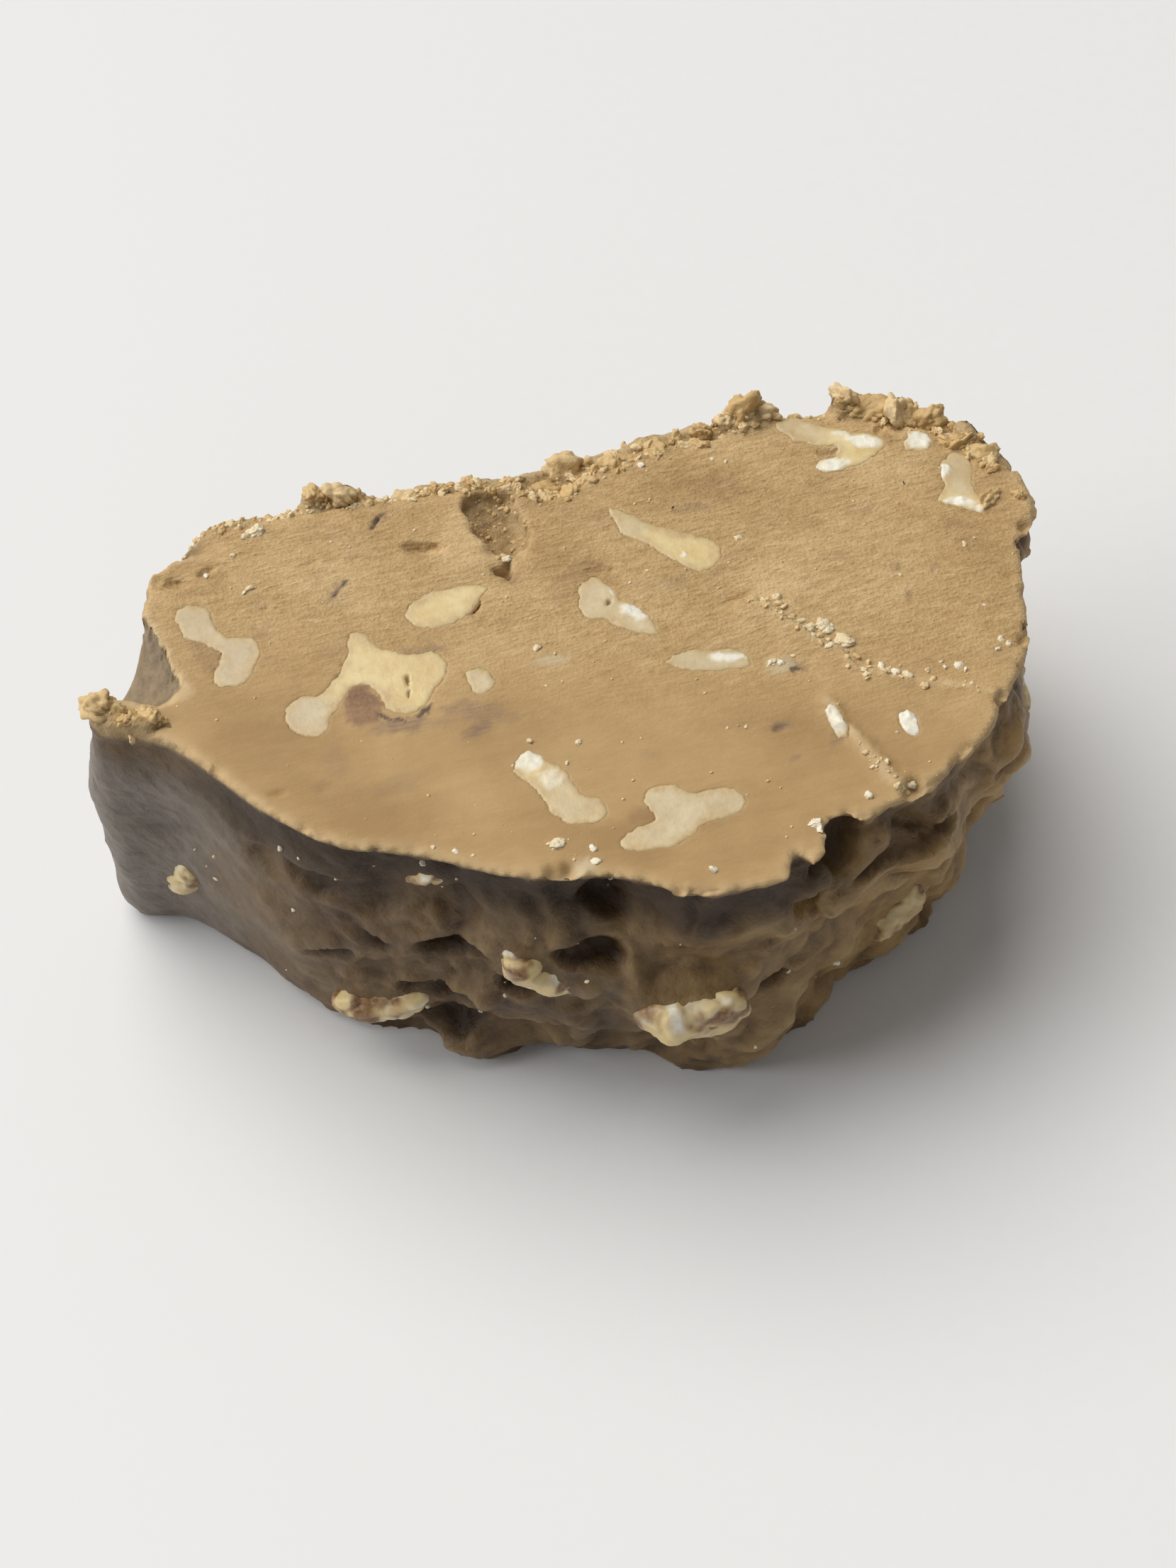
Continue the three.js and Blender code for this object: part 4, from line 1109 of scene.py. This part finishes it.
def fudge_colour(s, p):
    """The crust, and over it the cut, what is broken, rims and crests, the scoop, stains and skin."""
    mottle = s.blend((p.wrinkle, 0.45), (p.cloud, 0.2), (p.pores, 0.35))
    clump = s.blend((s.noise(1.4, 4.0, 0.65), 0.7), (p.grain, 0.3))
    crumbly = s.ramp(clump, (0.36, 0.29, 0.19, 0.08), (0.5, 0.46, 0.31, 0.135), (0.64, 0.64, 0.46, 0.235))
    olive = s.ramp(mottle, (0.38, 0.19, 0.135, 0.076), (0.5, 0.27, 0.192, 0.106), (0.62, 0.34, 0.245, 0.14))
    tone = s.blend((p.bands, 0.6), (p.grain, 0.4))
    skin = s.ramp(tone, (0.38, 0.215, 0.115, 0.066), (0.62, 0.34, 0.2, 0.108))
    wisps = s.remap(p.streaks, 0.35, 0.6, 0.35, 1.0)
    return s.layered(
        crust_colour(s, mottle),
        ("cut", cut_colour(s, p)),
        ("broken", crumbly),
        (s.times("rim", 0.6), (0.62, 0.44, 0.225)),
        (s.times("crest", 0.6), (0.68, 0.51, 0.285)),
        (s.remap("scooped", 0.05, 0.4), olive),
        (s.times("mauve", wisps), (0.23, 0.145, 0.105)),
        ("brown", (0.25, 0.14, 0.062)),
        ("pale", (0.63, 0.52, 0.33)),
        (s.times("patch", 0.92), skin),
        ("line", (0.055, 0.038, 0.04)),
    )


def fudge_material():
    """Tan and finely grained where cut; the crust browner, glossier, with painted shade, light and sheen."""
    s = Shader("fudge")
    p = fudge_patterns(s)
    matt = s.blend(("cut", 0.55), (p.grain, 0.45), ("scooped", -0.3), ("shade", 0.5))
    on_cut = s.times("cut", "sandy")
    uncut = s.math("SUBTRACT", 1.0, "cut")
    normal = s.bump(
        (s.times(p.grain, on_cut), 0.15),
        (s.times(p.streaks, on_cut), 0.16),
        (s.times(p.dashes, on_cut), 0.14),
        (s.times(s.noise(0.6, 4.0, 0.65), "broken"), 0.4),
        (s.times(p.wrinkle, uncut), 0.15),
        (s.times(p.pores, uncut), 0.35),
    )
    s.surface.inputs["Specular IOR Level"].default_value = 0.36
    s.translucent(0.1, 1.2)
    return s.finish(fudge_colour(s, p), s.remap(matt, 0.1, 0.8, 0.4, 0.66), normal)


def crumb_material(name, stops, own_share, depth):
    """Small bits, each with a tone of its own, by some share, and a grain with bumps of some depth in mm."""
    s = Shader(name)
    grain = s.noise(0.4, 3.0, 0.6)
    tone = s.blend(("tone", own_share), (grain, 1 - own_share))
    s.translucent(0.1, 0.4)
    return s.finish(s.ramp(tone, *stops), s.remap(grain, 0.3, 0.7, 0.45, 0.65), s.bump((grain, depth)))


def walnut_material():
    """A pale, slightly translucent kernel, whiter where bruised, with brown skin on its uncut sides."""
    s = Shader("walnut_kernel")
    cloud = s.noise(3.2, 4.0, 0.6)
    grain = s.noise(0.6, 3.0, 0.6)
    yellow = s.ramp(cloud, (0.3, 0.67, 0.49, 0.22), (0.5, 0.765, 0.595, 0.29), (0.7, 0.82, 0.675, 0.385))
    grey = s.ramp(cloud, (0.3, 0.54, 0.42, 0.25), (0.5, 0.61, 0.49, 0.305), (0.7, 0.69, 0.575, 0.38))
    bruise = s.times("white", s.remap(grain, 0.3, 0.6, 0.6, 1.0))
    colour = s.layered(
        yellow,
        ("grey", grey),
        (bruise, (0.93, 0.89, 0.77)),
        ("film", s.ramp(grain, (0.35, 0.53, 0.365, 0.17), (0.65, 0.63, 0.455, 0.235))),
        ("skin", s.ramp(grain, (0.35, 0.15, 0.075, 0.032), (0.65, 0.37, 0.21, 0.092))),
    )
    s.surface.inputs["Specular IOR Level"].default_value = 0.45
    s.translucent(0.2, 1.5)
    return s.finish(colour, s.remap(cloud, 0.3, 0.7, 0.34, 0.48), s.bump((cloud, 0.08), (grain, 0.04)))


def skin_material():
    s = Shader("walnut_skin")
    grain = s.noise(0.5, 3.0, 0.6)
    colour = s.ramp(grain, (0.3, 0.03, 0.018, 0.018), (0.6, 0.075, 0.042, 0.033), (0.75, 0.16, 0.09, 0.055))
    return s.finish(colour, s.remap(grain, 0.3, 0.7, 0.35, 0.6), s.bump((grain, 0.15)))


def floor_material():
    s = Shader("floor")
    speckle = s.noise(2.0, 3.0, 0.5)
    colour = s.ramp(speckle, (0.3, 0.835, 0.83, 0.82), (0.7, 0.845, 0.84, 0.83))
    return s.finish(colour, s.remap(speckle, 0.3, 0.7, 0.65, 0.8), s.bump((speckle, 0.005)))


def floor():
    mesh = bpy.data.meshes.new("floor")
    corners = [(-1, -1, 0), (1, -1, 0), (1, 1, 0), (-1, 1, 0)]
    mesh.from_pydata([Vector(corner) * FLOOR_HALF for corner in corners], [], [(0, 1, 2, 3)])
    mesh.materials.append(floor_material())
    new_object("floor", mesh)


def aim(thing, target):
    away = Vector(target) - thing.location
    thing.rotation_euler = away.to_track_quat("-Z", "Y").to_euler()


def light(name, kind, place, power, colour):
    data = bpy.data.lights.new(name, kind)
    data.energy = power
    data.color = colour
    thing = new_object(name, data)
    thing.location = place
    aim(thing, (0, 0, THICKNESS * MM / 2))
    return data


def lights():
    """Soft light from above and behind on the left, a sheen light on the left and an even, weak fill."""
    key = light("key", "SUN", place=(-0.3, 0.42, 0.8), power=2.4, colour=(1.0, 0.985, 0.955))
    key.angle = math.radians(50)
    sheen = light("sheen", "AREA", place=(-1.3, 0.1, 0.75), power=7.5, colour=(0.94, 0.97, 1.0))
    sheen.shape = "DISK"
    sheen.size = 0.8
    world = bpy.data.worlds.new("studio")
    world.use_nodes = True
    background = world.node_tree.nodes["Background"]
    background.inputs["Color"].default_value = (0.97, 0.98, 1.0, 1.0)
    background.inputs["Strength"].default_value = 0.2
    bpy.context.scene.world = world


def camera():
    data = bpy.data.cameras.new("camera")
    data.sensor_fit = "VERTICAL"
    data.sensor_height = CAMERA_SENSOR
    data.lens = CAMERA_LENS
    data.clip_start = 0.01
    eye = new_object("camera", data)
    shift = Vector((*SECTION_SHIFT, 0.0))
    eye.location = (Vector(CAMERA_PLACE) + shift) * MM
    aim(eye, (Vector(CAMERA_TARGET) + shift) * MM)
    eye.rotation_euler.rotate_axis("Z", math.radians(CAMERA_ROLL))
    bpy.context.scene.camera = eye


body = fudge_body()
kernel = walnut_material()
kernels = [walnut_piece(node, kernel) for node in WALNUTS]
bpy.context.view_layer.update()
depsgraph = bpy.context.evaluated_depsgraph_get()
surfaces = [BVHTree.FromObject(piece, depsgraph) for piece in [body, *kernels]]
crumbly = crumb_material("fudge_crumb", FUDGE_CRUMB_STOPS, own_share=0.6, depth=0.12)
fudge_chunks(surfaces, crumbly)
fudge_crumbs(surfaces, crumbly)
walnut_bits(surfaces, crumb_material("walnut_bit", WALNUT_BIT_STOPS, own_share=0.5, depth=0.15))
skin_flakes(surfaces, skin_material())
floor()
lights()
camera()
bpy.context.scene.view_settings.view_transform = "Standard"
